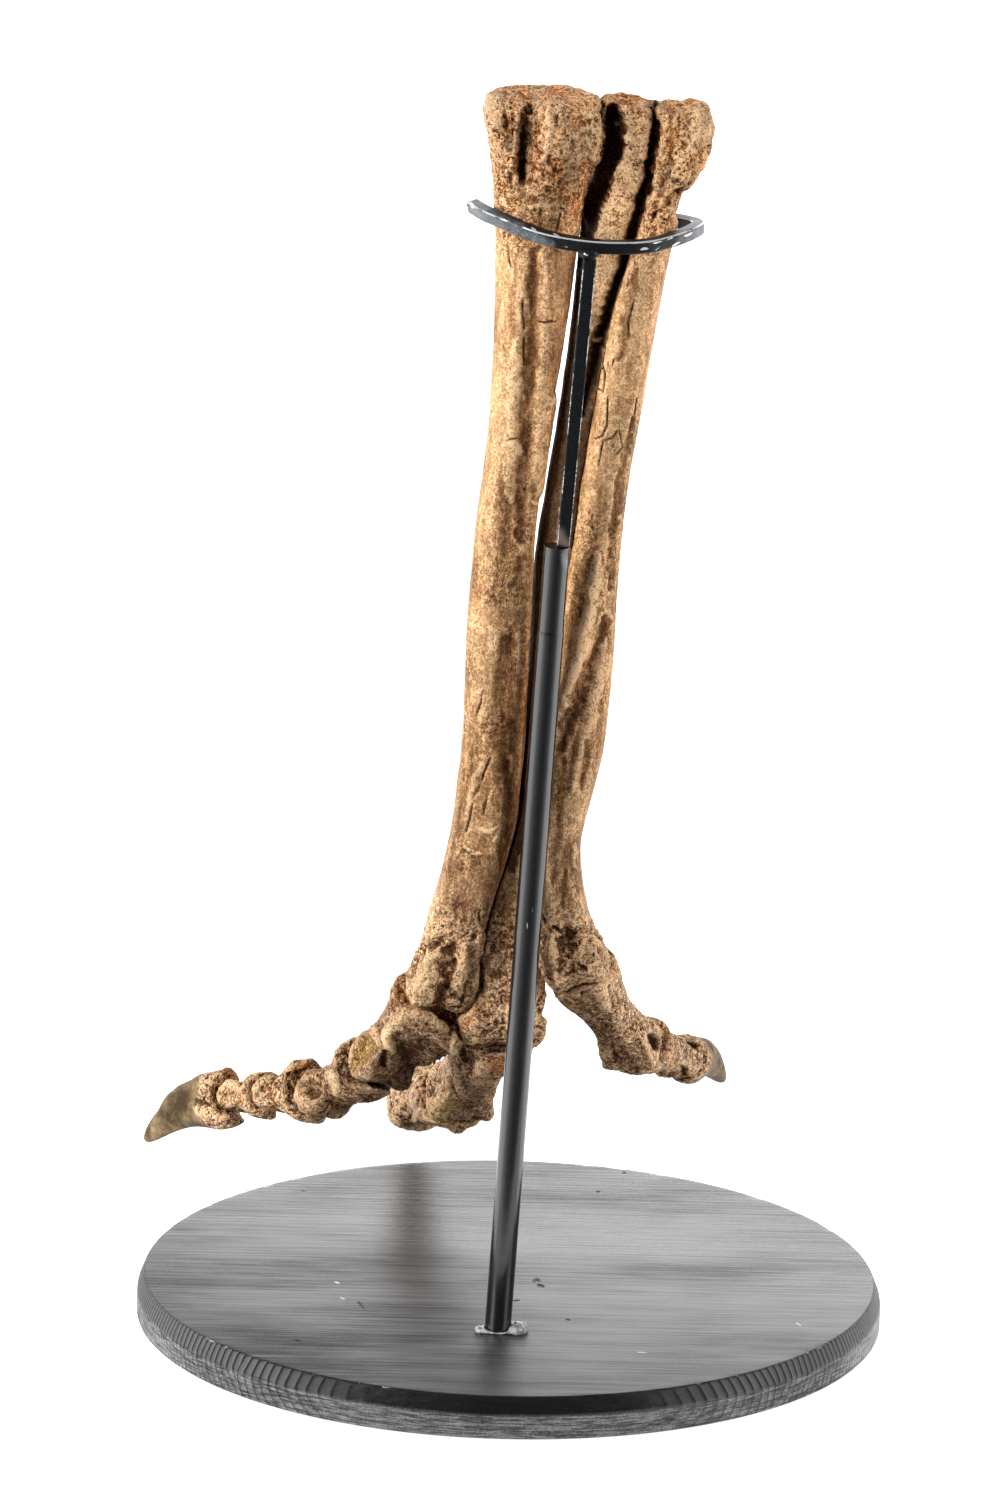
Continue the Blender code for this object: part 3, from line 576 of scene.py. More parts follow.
def line_distance(points, line):
    """Distance from each picture point to a line, and how far along the line its foot lies."""
    corners = np.array(line, float)
    lengths = np.linalg.norm(np.diff(corners, axis=0), axis=1)
    best = np.full(len(points), 1e9)
    place = np.zeros(len(points))
    walked = 0.0
    for start, end, length in zip(corners, corners[1:], lengths):
        along = end - start
        share = np.clip((points - start) @ along / max(along @ along, 1e-9), 0, 1)
        gap = np.sqrt(((points - start - share[:, None] * along) ** 2).sum(axis=1))
        place = np.where(gap < best, (walked + share * length) / lengths.sum(), place)
        best = np.minimum(best, gap)
        walked += length
    return best, place


class Sculpture:
    """A bone's mesh while its surface is worked: places, normals and tints of its points."""

    def __init__(self, piece, *tints):
        self.mesh = piece.data
        count = len(self.mesh.vertices)
        self.places = np.empty(count * 3)
        self.mesh.vertices.foreach_get("co", self.places)
        self.places = self.places.reshape(-1, 3)
        edges = np.empty(len(self.mesh.edges) * 2, dtype=np.int32)
        self.mesh.edges.foreach_get("vertices", edges)
        self.edges = edges.reshape(-1, 2)
        self.tints = {name: np.zeros(count) for name in tints}
        waves = [layered_noise(self.places, 0.004, 90 + axis, 2) for axis in range(2)]
        self.ragged = np.stack(waves, axis=1)
        self.grit = layered_noise(self.places, 0.0024, 95, 2)
        self.refresh()

    def refresh(self):
        """Write the places to the mesh and read its normals again."""
        self.mesh.vertices.foreach_set("co", self.places.ravel())
        self.mesh.update()
        normals = np.empty(len(self.places) * 3)
        self.mesh.vertices.foreach_get("normal", normals)
        self.normals = normals.reshape(-1, 3)
        self.picture = picture_points(self.places)
        to_camera = np.array(CAMERA_PLACE) - self.places
        to_camera /= np.linalg.norm(to_camera, axis=1)[:, None]
        self.facing = (self.normals * to_camera).sum(axis=1)

    def push(self, heights):
        """Move every point along its normal by millimetres."""
        self.places += self.normals * (heights * MM)[:, None]

    def mark(self, kind, reach, height, line):
        """Work one mark into the surface that the camera sees, narrower towards its ends."""
        corners = np.array(line, float)
        margin, taper, wavering = 1.6 * reach, 2.5 * reach, min(0.45 * reach, 3.2)
        low, high = corners.min(axis=0) - margin, corners.max(axis=0) + margin
        near = np.flatnonzero(((self.picture > low) & (self.picture < high)).all(axis=1))
        if len(near) == 0:
            return
        points = self.picture[near] + self.ragged[near] * wavering
        gap, place = line_distance(points, line)
        length = np.linalg.norm(np.diff(corners, axis=0), axis=1).sum()
        ends = np.minimum(place, 1 - place) * length / taper
        width = reach * (0.55 + 0.45 * np.clip(ends, 0, 1)) if length > taper else reach
        soft = np.clip(1 - (gap / width) ** 2, 0, 1) ** 2
        limits = MARK_FACING.get(kind, USUAL_FACING)
        if limits:
            soft = soft * smooth_share(self.facing[near], *limits)
        if kind == "sink":
            soft = np.minimum(soft, self.room_behind(near, height[1] * MM))
        if kind in ("move", "sink"):
            self.places[near] += soft[:, None] * np.array(height) * MM
            return
        self.places[near] += self.normals[near] * (soft * height * MM)[:, None]
        if kind in ("deep", "under", "shadow"):
            firm = np.clip(3 * soft, 0, 1)
        else:
            firm = soft ** 0.8 * (1 + 0.8 * self.grit[near])
        # Painted highlights of lit and chip clear the darkening under them
        if kind in ("lit", "chip"):
            self.tints["dark"][near] *= 1 - 0.85 * soft
        for name, amount in MARK_TINTS[kind].items():
            tint = self.tints[name]
            tint[near] = np.maximum(tint[near], amount * firm)

    def mark_all(self, marks, fresh=False):
        """Work marks in one after another, the normals read again after each if asked."""
        for mark in marks:
            self.mark(*mark)
            if fresh:
                self.refresh()

    def room_behind(self, near, depth):
        """Share of a step backwards, in metres, that near points can take and stay in the bone."""
        cells = np.floor(self.places[:, [0, 2]] / FAR_WALL).astype(int)
        cells -= cells.min(axis=0)
        back = np.full(cells.max(axis=0) + 1, -np.inf)
        np.maximum.at(back, (cells[:, 0], cells[:, 1]), self.places[:, 1])
        room = back[cells[near, 0], cells[near, 1]] - FAR_WALL - self.places[near, 1]
        return np.clip(room / depth, 0, 1)

    def deepen(self, name, values):
        """Let a tint be at least as strong as the given values."""
        self.tints[name] = np.maximum(self.tints[name], values)

    def relief(self, passes):
        """Millimetres that each point stands above the smoothed surface, below 0 in a hollow."""
        first, second = self.edges[:, 0], self.edges[:, 1]
        count = len(self.places)
        neighbours = np.bincount(first, minlength=count) + np.bincount(second, minlength=count)
        smooth = self.places.copy()
        for _ in range(passes):
            total = np.empty_like(smooth)
            for axis in range(3):
                values = smooth[:, axis]
                total[:, axis] = np.bincount(first, values[second], count)
                total[:, axis] += np.bincount(second, values[first], count)
            smooth = 0.3 * smooth + 0.7 * total / neighbours[:, None]
        return ((self.places - smooth) * self.normals).sum(axis=1) / MM

    def store(self):
        """Write places and tints to the mesh."""
        self.refresh()
        for name, values in self.tints.items():
            attribute = self.mesh.attributes.new(name, "FLOAT", "POINT")
            attribute.data.foreach_set("value", np.clip(values, 0, 1).astype(np.float32))


def quad_copy(node, name, flat, square, crease=0.0):
    """Copy of a plain piece, its triangles joined to quads and its sharp edges creased if asked."""
    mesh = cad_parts[node].data.copy()
    piece = bpy.data.objects.new(name, mesh)
    bpy.context.scene.collection.objects.link(piece)
    shape = bmesh.new()
    shape.from_mesh(mesh)
    bmesh.ops.remove_doubles(shape, verts=shape.verts, dist=1e-6)
    bmesh.ops.join_triangles(
        shape,
        faces=shape.faces,
        angle_face_threshold=math.radians(flat),
        angle_shape_threshold=math.radians(square),
    )
    if crease:
        sharp = shape.edges.layers.float.new("crease_edge")
        for edge in shape.edges:
            if len(edge.link_faces) == 2 and edge.calc_face_angle(0.0) > math.radians(30):
                edge[sharp] = crease
    shape.to_mesh(mesh)
    shape.free()
    for attribute in list(mesh.attributes):
        if attribute.name in ("sharp_edge", "custom_normal", "sharp_face"):
            mesh.attributes.remove(attribute)
    return piece


def fine_copy(node, name, voxel):
    """Fine smooth mesh in the shape of a plain bone."""
    piece = quad_copy(node, name, 60, 100)
    add_modifier(piece, "rounding", "SUBSURF", levels=2, render_levels=2)
    add_modifier(piece, "fine skin", "REMESH", mode="VOXEL", voxel_size=voxel, use_smooth_shade=True)
    add_modifier(piece, "even skin", "SMOOTH", factor=0.5, iterations=6)
    return piece


def weather_long_bone(work, settings, seed):
    """Shaft with streaks along it, spongy bone at both ends."""
    height = work.places[:, 2] / MM
    drift = 9 * cloud_noise(work.places, 0.012, seed)
    top_end = smooth_share(height + drift, *TOP_SPONGY)
    low_end = smooth_share(-height + drift, -LOW_SPONGY[1], -LOW_SPONGY[0])
    ends = np.maximum(top_end, 0.7 * low_end)
    lumps = 0.4 * layered_noise(work.places, 0.016, seed + 2)
    work.push(lumps + ends * 0.55 * layered_noise(work.places, 0.006, seed + 3))
    work.refresh()
    stretched = work.places * np.array([1.0, 1.0, 0.14])
    streaks = layered_noise(stretched, 0.0026, seed + 4)
    sponge = layered_noise(work.places, 0.0023, seed + 6, 2)
    pores = pore_noise(work.places, 0.0017, seed + 5)
    specks = pore_noise(work.places * np.array([1.0, 1.0, 0.6]), 0.0036, seed + 9)
    patches = smooth_share(layered_noise(work.places, 0.02, seed + 13), 0.05, 0.6)
    spongy = np.clip(ends + 0.3 * patches, 0, 1)
    depth = settings.pore_depth / MM
    rough = 0.7 * sponge - depth * np.maximum(pores, 0.9 * smooth_share(-sponge, 0.15, 0.6))
    work.push(0.16 * streaks + spongy * rough - 0.25 * (1 - spongy) * smooth_share(specks, 0.6, 1))
    work.deepen("pores", spongy)
    # hollow is painted shade in the pores and in the hollows of the sponge
    zones = 0.25 + 0.75 * smooth_share(layered_noise(work.places, 0.011, seed + 17), -0.25, 0.35)
    work.tints["hollow"] = spongy * zones * np.maximum(pores, smooth_share(-sponge, 0.15, 0.7))
    blotch = layered_noise(work.places, 0.0065, seed + 21)
    work.deepen("pale", 0.45 * ends * smooth_share(blotch, -0.05, 0.4))
    work.deepen("dark", 0.3 * ends * smooth_share(-blotch, 0.1, 0.5))
    crown = top_end * smooth_share(work.normals[:, 2], 0.3, 0.8)
    warmth = smooth_share(layered_noise(work.places, 0.009, seed + 19), -0.5, 0.4)
    work.deepen("rust", np.maximum(0.95 * crown, top_end * (0.35 + 0.35 * warmth)))
    # Painted shade in the dents of the specks on the shaft
    work.tints["hollow"] += 0.5 * (1 - spongy) * smooth_share(specks, 0.55, 1)


def weather_toe_bone(work, settings, seed):
    """Lumpy toe bone, pitted all over."""
    lumps = layered_noise(work.places, 0.009, seed)
    dents = layered_noise(work.places, 0.0038, seed + 3)
    work.push(0.5 * lumps + 0.3 * dents + 0.3)
    work.refresh()
    sponge = layered_noise(work.places, 0.0019, seed + 6, 2)
    pores = pore_noise(work.places, 0.0016, seed + 8)
    patches = smooth_share(layered_noise(work.places, 0.011, seed + 10), -0.3, 0.3)
    depth = settings.pore_depth / MM
    work.push((0.4 + 0.6 * patches) * (0.45 * sponge - 0.9 * depth * pores))
    work.deepen("pores", 0.35 + 0.6 * patches)
    # hollow is painted shade in the pores
    work.tints["hollow"] = (0.25 + 0.6 * patches) * np.maximum(pores, smooth_share(-sponge, 0.15, 0.6))


def weather_claw(work, settings, seed, base, tip):
    """Smooth horny blade with fine grooves along it, rough at its base."""
    base, tip = np.array(base), np.array(tip)
    along = (work.places - base) @ (tip - base) / ((tip - base) @ (tip - base))
    rough = 1 - smooth_share(along + 0.08 * cloud_noise(work.places, 0.005, seed), 0.18, 0.36)
    axis = (tip - base) / np.linalg.norm(tip - base)
    drawn = work.places - 0.9 * ((work.places @ axis)[:, None] * axis)
    lumps = 0.25 * layered_noise(work.places, 0.008, seed + 2)
    work.push(lumps + 0.06 * layered_noise(drawn, 0.0015, seed + 5))
    pores = pore_noise(work.places, 0.0019, seed + 8)
    depth = settings.pore_depth / MM
    work.push(rough * (0.35 * layered_noise(work.places, 0.004, seed + 11) - depth * pores))
    work.tints["pores"] = rough
    # hollow is painted shade in the pores of the rough base
    work.tints["hollow"] = rough * pores


def press_between(work, neighbour, side, low, high, reach):
    """Widen a bone to one side, between two heights, until it nearly meets its neighbour there."""
    height = work.places[:, 2] / MM
    low_ease, high_ease = 12, 4
    inside = smooth_share(height, low - low_ease, low + low_ease)
    inside = inside * smooth_share(-height, -high - high_ease, -high + high_ease)
    tree = BVHTree.FromObject(neighbour, bpy.context.evaluated_depsgraph_get())
    flank = inside * smooth_share(work.normals[:, 0] * side, 0.15, 0.6)
    for number in np.flatnonzero(flank > 0.01):
        place = Vector(work.places[number])
        hit = tree.ray_cast(place, Vector((side, 0.0, 0.0)), 0.02)[0]
        room = (hit - place).length / MM - LEFT_OPEN if hit else reach
        work.places[number, 0] += side * flank[number] * max(0.0, min(room, reach)) * MM
    work.refresh()


def press_below_top(work):
    """Keep a bone below the plain model's top."""
    over = work.places[:, 2] - (CAD_BOX[1][2] - TOP_EASE)
    work.places[:, 2] -= np.where(over > 0, over - TOP_EASE * np.tanh(over / TOP_EASE), 0)
    work.refresh()


def make_bone(node, settings, material, weather, seed, voxel, neighbours=()):
    """Sculpt one bone from its plain solid."""
    piece = fine_copy(node, "bone_" + node, voxel)
    work = Sculpture(piece, "dark", "pale", "rust", "ochre", "pores", "hollow", "ridge", "valley_shade")
    marks = BONE_MARKS.get(node, ())
    work.mark_all([mark for mark in marks if mark[0] in ("form", "move")], fresh=True)
    for neighbour in neighbours:
        press_between(work, *neighbour)
    work.mark_all([mark for mark in marks if mark[0] == "sink"])
    work.refresh()
    relief = [mark for mark in marks if mark[0] not in ("form", "move", "sink")]
    work.mark_all([mark for mark in relief if mark[1] >= FINE_REACH], fresh=True)
    weather(work, settings, seed)
    work.refresh()
    work.mark_all([mark for mark in relief if mark[1] < FINE_REACH])
    press_below_top(work)
    broad, fine = work.relief(BROAD_PASSES), work.relief(FINE_PASSES)
    # These tints paint highlight on raised relief and shade in sunken relief
    work.tints["ridge"] = smooth_share(broad, 0.05, 0.6) * 0.6 + smooth_share(fine, 0.01, 0.12) * 0.4
    work.tints["valley_shade"] = smooth_share(-broad, 0.05, 0.6) * 0.6 + smooth_share(-fine, 0.01, 0.14) * 0.4
    work.store()
    name_piece(piece, "bone_" + node, material)
    finish_piece(piece, "fossil_bone", node)
    return piece


def shader_nodes(name):
    """New material: its node tree and its shader."""
    material = bpy.data.materials.new(name)
    material.use_nodes = True
    tree = material.node_tree
    return material, tree, tree.nodes["Principled BSDF"]


def feed(node, place, value):
    """Give an input of a node its source, its number or its colour."""
    socket = node.inputs[place]
    if isinstance(value, bpy.types.NodeSocket):
        value.id_data.links.new(value, socket)
    elif socket.type == "RGBA":
        socket.default_value = (*value, 1.0)
    else:
        socket.default_value = value


def new_node(kind, *values):
    """New node in the tree of the first socket among some values."""
    tree = next(value.id_data for value in values if isinstance(value, bpy.types.NodeSocket))
    return tree.nodes.new(kind)


def noise_node(source, scale, detail=4.0, roughness=0.6):
    """Noise texture that reads the given coordinates."""
    node = new_node("ShaderNodeTexNoise", source)
    labels = ("Vector", "Scale", "Detail", "Roughness")
    for label, value in zip(labels, (source, scale, detail, roughness)):
        feed(node, label, value)
    return node.outputs["Fac"]


def ramp_node(source, *stops):
    """Colour ramp. Each stop is a place and a colour, or a place and a grey."""
    node = new_node("ShaderNodeValToRGB", source)
    ramp = node.color_ramp
    while len(ramp.elements) < len(stops):
        ramp.elements.new(0.5)
    for element, (position, colour) in zip(ramp.elements, stops):
        element.position = position
        element.color = (*((colour,) * 3 if isinstance(colour, float) else colour), 1.0)
    feed(node, "Fac", source)
    return node.outputs["Color"]


def mix_node(share, first, second, blend="MIX"):
    """Mix of two colours by a share, each a number, a colour or a socket."""
    node = new_node("ShaderNodeMix", share, first, second)
    node.data_type = "RGBA"
    node.blend_type = blend
    for number, value in ((0, share), (6, first), (7, second)):
        feed(node, number, value)
    return node.outputs[2]


def math_node(operation, first, second=0.0, clamp=False):
    """Result of an operation on one or two numbers or sockets."""
    node = new_node("ShaderNodeMath", first, second)
    node.operation = operation
    node.use_clamp = clamp
    feed(node, 0, first)
    feed(node, 1, second)
    return node.outputs[0]


def times(first, second, clamp=False):
    """Product of two numbers or sockets."""
    return math_node("MULTIPLY", first, second, clamp)


def plus(total, *others, clamp=False):
    """Sum of numbers and sockets."""
    for value in others:
        total = math_node("ADD", total, value, clamp)
    return total


def minus(first, second):
    """Difference of two numbers or sockets."""
    return math_node("SUBTRACT", first, second)


def range_node(source, low, high, low_result=0.0, high_result=1.0, curve="LINEAR"):
    """Value that goes from one result to the other between two limits."""
    node = new_node("ShaderNodeMapRange", source)
    node.interpolation_type = curve
    labels = ("Value", "From Min", "From Max", "To Min", "To Max")
    for label, value in zip(labels, (source, low, high, low_result, high_result)):
        feed(node, label, value)
    return node.outputs["Result"]


def split_node(source):
    """X, Y and Z of a place or a direction."""
    node = new_node("ShaderNodeSeparateXYZ", source)
    feed(node, 0, source)
    return node.outputs


def attribute_node(tree, name):
    """Value that a point of the mesh carries."""
    node = tree.nodes.new("ShaderNodeAttribute")
    node.attribute_name = name
    return node.outputs["Fac"]


def bump_node(height, strength, distance):
    """Bump from a height."""
    node = new_node("ShaderNodeBump", height)
    for label, value in (("Strength", strength), ("Distance", distance), ("Height", height)):
        feed(node, label, value)
    return node.outputs["Normal"]


def object_place(tree, stretch=(1.0, 1.0, 1.0)):
    """Object coordinates, stretched if asked."""
    source = tree.nodes.new("ShaderNodeTexCoord").outputs["Object"]
    if stretch == (1.0, 1.0, 1.0):
        return source
    node = tree.nodes.new("ShaderNodeMapping")
    feed(node, "Scale", stretch)
    feed(node, "Vector", source)
    return node.outputs["Vector"]


def bone_material(name, settings, stretch):
    """Fossil bone: tan and brown, streaked along the bone, with painted shade in its pores and cracks
    and painted highlights on its ridges and specks.
    """
    material, tree, shader = shader_nodes(name)
    place = object_place(tree)
    drawn = object_place(tree, stretch)
    broad = noise_node(place, 42.0, 3.0, 0.55)
    streak = noise_node(drawn, 240.0, 5.0, 0.65)
    coarse = noise_node(place, 360.0, 3.0, 0.65)
    mottle = noise_node(place, 850.0, 3.0, 0.7)
    speck = noise_node(place, 1700.0, 2.0, 0.6)
    labels = ("pores", "ridge", "valley_shade", "rust", "ochre", "pale", "hollow", "dark")
    pores, ridge, valley_shade, rust, ochre, pale, hollow, dark = [attribute_node(tree, label) for label in labels]

    # Ridges are painted lighter and valleys darker: painted highlight and painted shade
    tone = plus(times(broad, 0.45), times(streak, 0.55), times(ridge, 0.14))
    tone = plus(minus(tone, times(valley_shade, 0.2)), times(pores, 0.04))
    stops = (0.38, settings.dark_bone), (0.49, settings.middle_bone), (0.59, settings.light_bone)
    colour = ramp_node(tone, *stops)
    # The bone's grain, whose brightest specks are painted glints
    grainy = plus(times(mottle, 0.45), times(speck, 0.25), times(coarse, 0.3))
    speckle = ramp_node(
        grainy,
        (0.41, (0.12, 0.06, 0.035)),
        (0.465, (0.56, 0.44, 0.34)),
        (0.50, (1.10, 0.99, 0.88)),
        (0.545, (1.9, 1.8, 1.65)),
        (0.59, (3.4, 3.3, 3.1)),
    )
    colour = mix_node(plus(times(pores, 0.8), 0.36, clamp=True), colour, speckle, "MULTIPLY")

    # The lower ends of the long bones and the toes are a little cooler
    cool_below, warm_above = 0.13, 0.23
    cool = range_node(split_node(place)["Z"], cool_below, warm_above, 1.0, 0.0)
    colour = mix_node(cool, colour, (0.88, 0.98, 1.26), "MULTIPLY")
    rusty = mix_node(0.8, (0.58, 0.235, 0.082), speckle, "MULTIPLY")
    colour = mix_node(times(rust, 0.8, clamp=True), colour, rusty)
    yellow = mix_node(0.8, (0.50, 0.34, 0.12), speckle, "MULTIPLY")
    colour = mix_node(times(ochre, 0.8), colour, yellow)
    # pale holds pale patches, chips and painted highlights; lit is painted highlight on ridges
    pale = times(times(pale, minus(grainy, 0.40)), 14.0, clamp=True)
    colour = mix_node(pale, colour, (0.96, 0.64, 0.36))
    lit = times(times(ridge, minus(grainy, 0.44)), 8.0, clamp=True)
    colour = mix_node(lit, colour, (0.95, 0.62, 0.35))
    # Painted shade in pores and dents
    colour = mix_node(times(hollow, 0.8, clamp=True), colour, (0.05, 0.02, 0.009))
    # dark holds the bone's own dark blotches and the painted shade of the marks
    shade = times(dark, 0.94, clamp=True)
    feed(shader, "Base Color", mix_node(shade, colour, (0.022, 0.011, 0.006)))

    feed(shader, "Roughness", plus(times(mottle, 0.5), 0.2))
    feed(shader, "Specular IOR Level", times(minus(1.0, shade), 0.28))
    feed(shader, "IOR", 1.2)
    grain = noise_node(drawn, 650.0, 4.0, 0.7)
    porous = times(times(mottle, pores), 1.6)
    height = plus(times(grain, 0.4), times(speck, 0.4), porous)
    feed(shader, "Normal", bump_node(height, 1.0, 0.0011))
    return material


def claw_material(name, settings):
    """Claw: a smooth olive-grey blade, and spongy bone like the other bones at its base."""
    material = bone_material(name, settings, (1.0, 1.0, 1.0))
    tree = material.node_tree
    shader = tree.nodes["Principled BSDF"]
    rough_bone = shader.inputs["Base Color"].links[0].from_socket
    horn = noise_node(object_place(tree), 120.0, 5.0, 0.65)
    blade = ramp_node(
        horn,
        (0.36, (0.055, 0.036, 0.016)),
        (0.5, (0.14, 0.096, 0.046)),
        (0.66, (0.30, 0.22, 0.118)),
    )
    share = times(attribute_node(tree, "pores"), 1.2, clamp=True)
    share = plus(share, times(attribute_node(tree, "ridge"), 0.25), clamp=True)
    feed(shader, "Base Color", mix_node(share, blade, rough_bone))
    return material


def steel_material(name, settings, gloss):
    """Black paint on steel, rubbed through to bright metal in places."""
    material, tree, shader = shader_nodes(name)
    place = object_place(tree)
    ragged = noise_node(place, 900.0, 3.0, 0.7)
    scratches = noise_node(object_place(tree, (1.0, 1.0, 0.04)), 1500.0, 2.0, 0.6)
    dusty = attribute_node(tree, "dusty")
    worn = plus(attribute_node(tree, "metal"), times(ragged, 0.5))
    worn = ramp_node(worn, (0.62, 0.0), (0.75, 1.0))
    dust = ramp_node(noise_node(place, 1300.0, 4.0, 0.75), (0.50, 0.0), (0.66, 1.0))
    dust = times(dust, plus(times(dusty, 0.8), 0.03))
    paint = mix_node(dust, settings.paint, (0.30, 0.33, 0.36))
    paint = mix_node(times(dusty, 0.5), paint, (0.17, 0.19, 0.21))
    rubbed = ramp_node(scratches, (0.64, 0.0), (0.72, 1.0))
    paint = mix_node(times(rubbed, 0.06), paint, (0.12, 0.125, 0.13))
    paint = mix_node(attribute_node(tree, "burnt"), paint, (0.13, 0.105, 0.09))
    feed(shader, "Base Color", mix_node(worn, paint, settings.bright))
    feed(shader, "Metallic", times(worn, 0.6))
    feed(shader, "Specular IOR Level", 0.25 + 0.5 * gloss)
    feed(shader, "IOR", 1.45 + 0.17 * gloss)
    rough = times(noise_node(place, 250.0, 4.0, 0.6), 0.2)
    feed(shader, "Roughness", plus(rough, 0.28 - 0.22 * gloss))
    height = plus(ragged, times(worn, -0.6))
    feed(shader, "Normal", bump_node(height, 0.35 - 0.29 * gloss, 0.0002))
    return material


def growth_rings(tree, across, upward, settings):
    """Growth rings round a heart that lies at another place in each board: 1 at a ring's dark end."""
    board = math_node("DIVIDE", plus(across, settings.board_start), settings.board_width)
    number = math_node("FLOOR", board)
    chance = tree.nodes.new("ShaderNodeTexWhiteNoise")
    chance.noise_dimensions = "1D"
    feed(chance, "W", number)
    heart = minus(chance.outputs["Value"], 0.5)
    sideways = minus(minus(board, number), times(heart, 0.8))
    sideways = times(plus(sideways, 0.9), settings.board_width)
    heart_height = 0.019
    depth = plus(upward, -heart_height)
    square = plus(math_node("POWER", sideways, 2.0), math_node("POWER", depth, 2.0))
    wavy = noise_node(object_place(tree, (0.12, 1.0, 1.0)), 26.0, 2.0, 0.5)
    radius = plus(math_node("SQRT", square), times(wavy, 0.006))
    turns = math_node("FRACT", math_node("DIVIDE", radius, settings.ring_width))
    return ramp_node(turns, (0.0, 0.0), (0.55, 0.35), (0.85, 1.0), (1.0, 0.0))


def wood_material(name, settings):
    """Black-stained boards glued side by side, their grain along X."""
    material, tree, shader = shader_nodes(name)
    place = object_place(tree)
    along, across, upward = split_node(place)
    rings = growth_rings(tree, across, upward, settings)
    grain = noise_node(object_place(tree, (0.02, 1.0, 1.0)), 700.0, 5.0, 0.7)
    cloud = noise_node(object_place(tree, (0.35, 1.0, 1.0)), 22.0, 4.0, 0.6)
    speck = noise_node(place, 1500.0, 3.0, 0.75)
    tone = plus(times(grain, 0.6), times(cloud, 0.4))
    colour = ramp_node(tone, (0.43, settings.stain), (0.58, settings.worn))

    # The wall is all below the chamfer, and the slope is the chamfer itself
    wall_top, chamfer_foot = 0.0086, 0.0102
    wall = range_node(upward, wall_top, chamfer_foot, 1.0, 0.0)
    facing = split_node(tree.nodes.new("ShaderNodeNewGeometry").outputs["Normal"])
    side = minus(1.0, math_node("POWER", facing["Z"], 8.0, clamp=True))
    slope = times(side, minus(1.0, wall))
    end_grain = ramp_node(math_node("ABSOLUTE", facing["X"]), (0.34, 0.0), (0.6, 1.0))
    end_side = times(side, end_grain)

    # Painted light and shade: the wall is painted light grey and the chamfer near black
    colour = mix_node(times(wall, 0.85), colour, (0.085, 0.086, 0.088))
    colour = mix_node(0.6, colour, ramp_node(speck, (0.38, 0.35), (0.62, 1.7)), "MULTIPLY")
    colour = mix_node(times(slope, 0.9), colour, (0.0035,) * 3)
    ring_tint = ramp_node(rings, (0.0, 1.5), (1.0, 0.25))
    colour = mix_node(plus(times(end_side, 0.8), 0.1), colour, ring_tint, "MULTIPLY")
    arcs = times(times(slope, end_grain), minus(1.0, rings))
    colour = mix_node(times(arcs, 0.8), colour, (0.15,) * 3)
    lines = noise_node(object_place(tree, (0.06, 0.06, 1.0)), 1600.0, 3.0, 0.7)
    lines = ramp_node(lines, (0.44, 0.12), (0.58, 2.2))
    colour = mix_node(times(wall, 0.8), colour, lines, "MULTIPLY")
    # Painted shade in the pits
    colour = mix_node(times(attribute_node(tree, "dark"), 0.9), colour, (0.004,) * 3)
    colour = mix_node(attribute_node(tree, "metal"), colour, (0.5,) * 3)
    # Paler worn stain along the upper edge of the chamfer, and a painted highlight there
    edge = ramp_node(times(attribute_node(tree, "worn_edge_and_highlight"), speck), (0.26, 0.0), (0.42, 1.0))
    feed(shader, "Base Color", mix_node(edge, colour, (0.42,) * 3))

    # The top is duller towards the front left, and between the streaks of the grain
    front = range_node(plus(across, times(along, 0.3)), -0.14, 0.06, 0.2, 0.0)
    streaky = ramp_node(tone, (0.42, 0.16), (0.58, 0.0))
    rough = plus(times(tone, 0.5), times(end_side, 0.2), front, streaky)
    feed(shader, "Roughness", minus(rough, 0.06))
    sheen = noise_node(object_place(tree, (0.02, 1.0, 1.0)), 700.0, 5.0, 0.85)
    sheen = plus(times(sheen, 0.35), times(cloud, 0.42), times(speck, 0.25))
    sheen = ramp_node(sheen, (0.42, 0.1), (0.5, 0.6), (0.58, 1.0))
    feed(shader, "Specular IOR Level", mix_node(times(slope, 0.85), sheen, (0.0,) * 3))
    height = minus(plus(grain, times(speck, 0.5)), times(times(rings, end_side), 1.5))
    feed(shader, "Normal", bump_node(height, 0.5, 0.0003))
    return material


def glue_material(name):
    """Set clear glue with dust in it."""
    material, tree, shader = shader_nodes(name)
    cloud = noise_node(object_place(tree), 500.0, 3.0, 0.6)
    colour = ramp_node(cloud, (0.4, (0.25, 0.26, 0.26)), (0.62, (0.85, 0.86, 0.86)))
    values = {"Base Color": colour, "Roughness": 0.12, "Transmission Weight": 0.55, "IOR": 1.48}
    for label, value in values.items():
        feed(shader, label, value)
    return material


def single_points(node):
    """Places of a node's corners, each once."""
    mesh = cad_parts[node].data
    places = np.empty(len(mesh.vertices) * 3)
    mesh.vertices.foreach_get("co", places)
    return np.unique(places.reshape(-1, 3).round(7), axis=0)


def end_middles(node):
    """Middle of a leaning bar's lower end and of its upper end."""
    places = single_points(node)
    height = places[:, 2]
    lower = places[height < height.min() + 0.001].mean(axis=0)
    upper = places[height > height.max() - 0.001].mean(axis=0)
    return Vector(lower), Vector(upper)


def stand_between(piece, lower, upper):
    """Turn an upright piece, modelled from 0 upwards, to stand from one place to another."""
    along = (upper - lower).normalized()
    away = (Vector((0.0, 1.0, 0.0)) - along * along.y).normalized()
    turn = Matrix((away.cross(along), away, along)).transposed().to_4x4()
    piece.matrix_world = Matrix.Translation(lower) @ turn
    place_in_mesh(piece)


def select_between(piece, low, high):
    """Select the points of a mesh between two heights, in edit mode."""
    shape = bmesh.from_edit_mesh(piece.data)
    for point in shape.verts:
        point.select = low <= point.co.z <= high
    shape.select_flush_mode()
    bmesh.update_edit_mesh(piece.data)


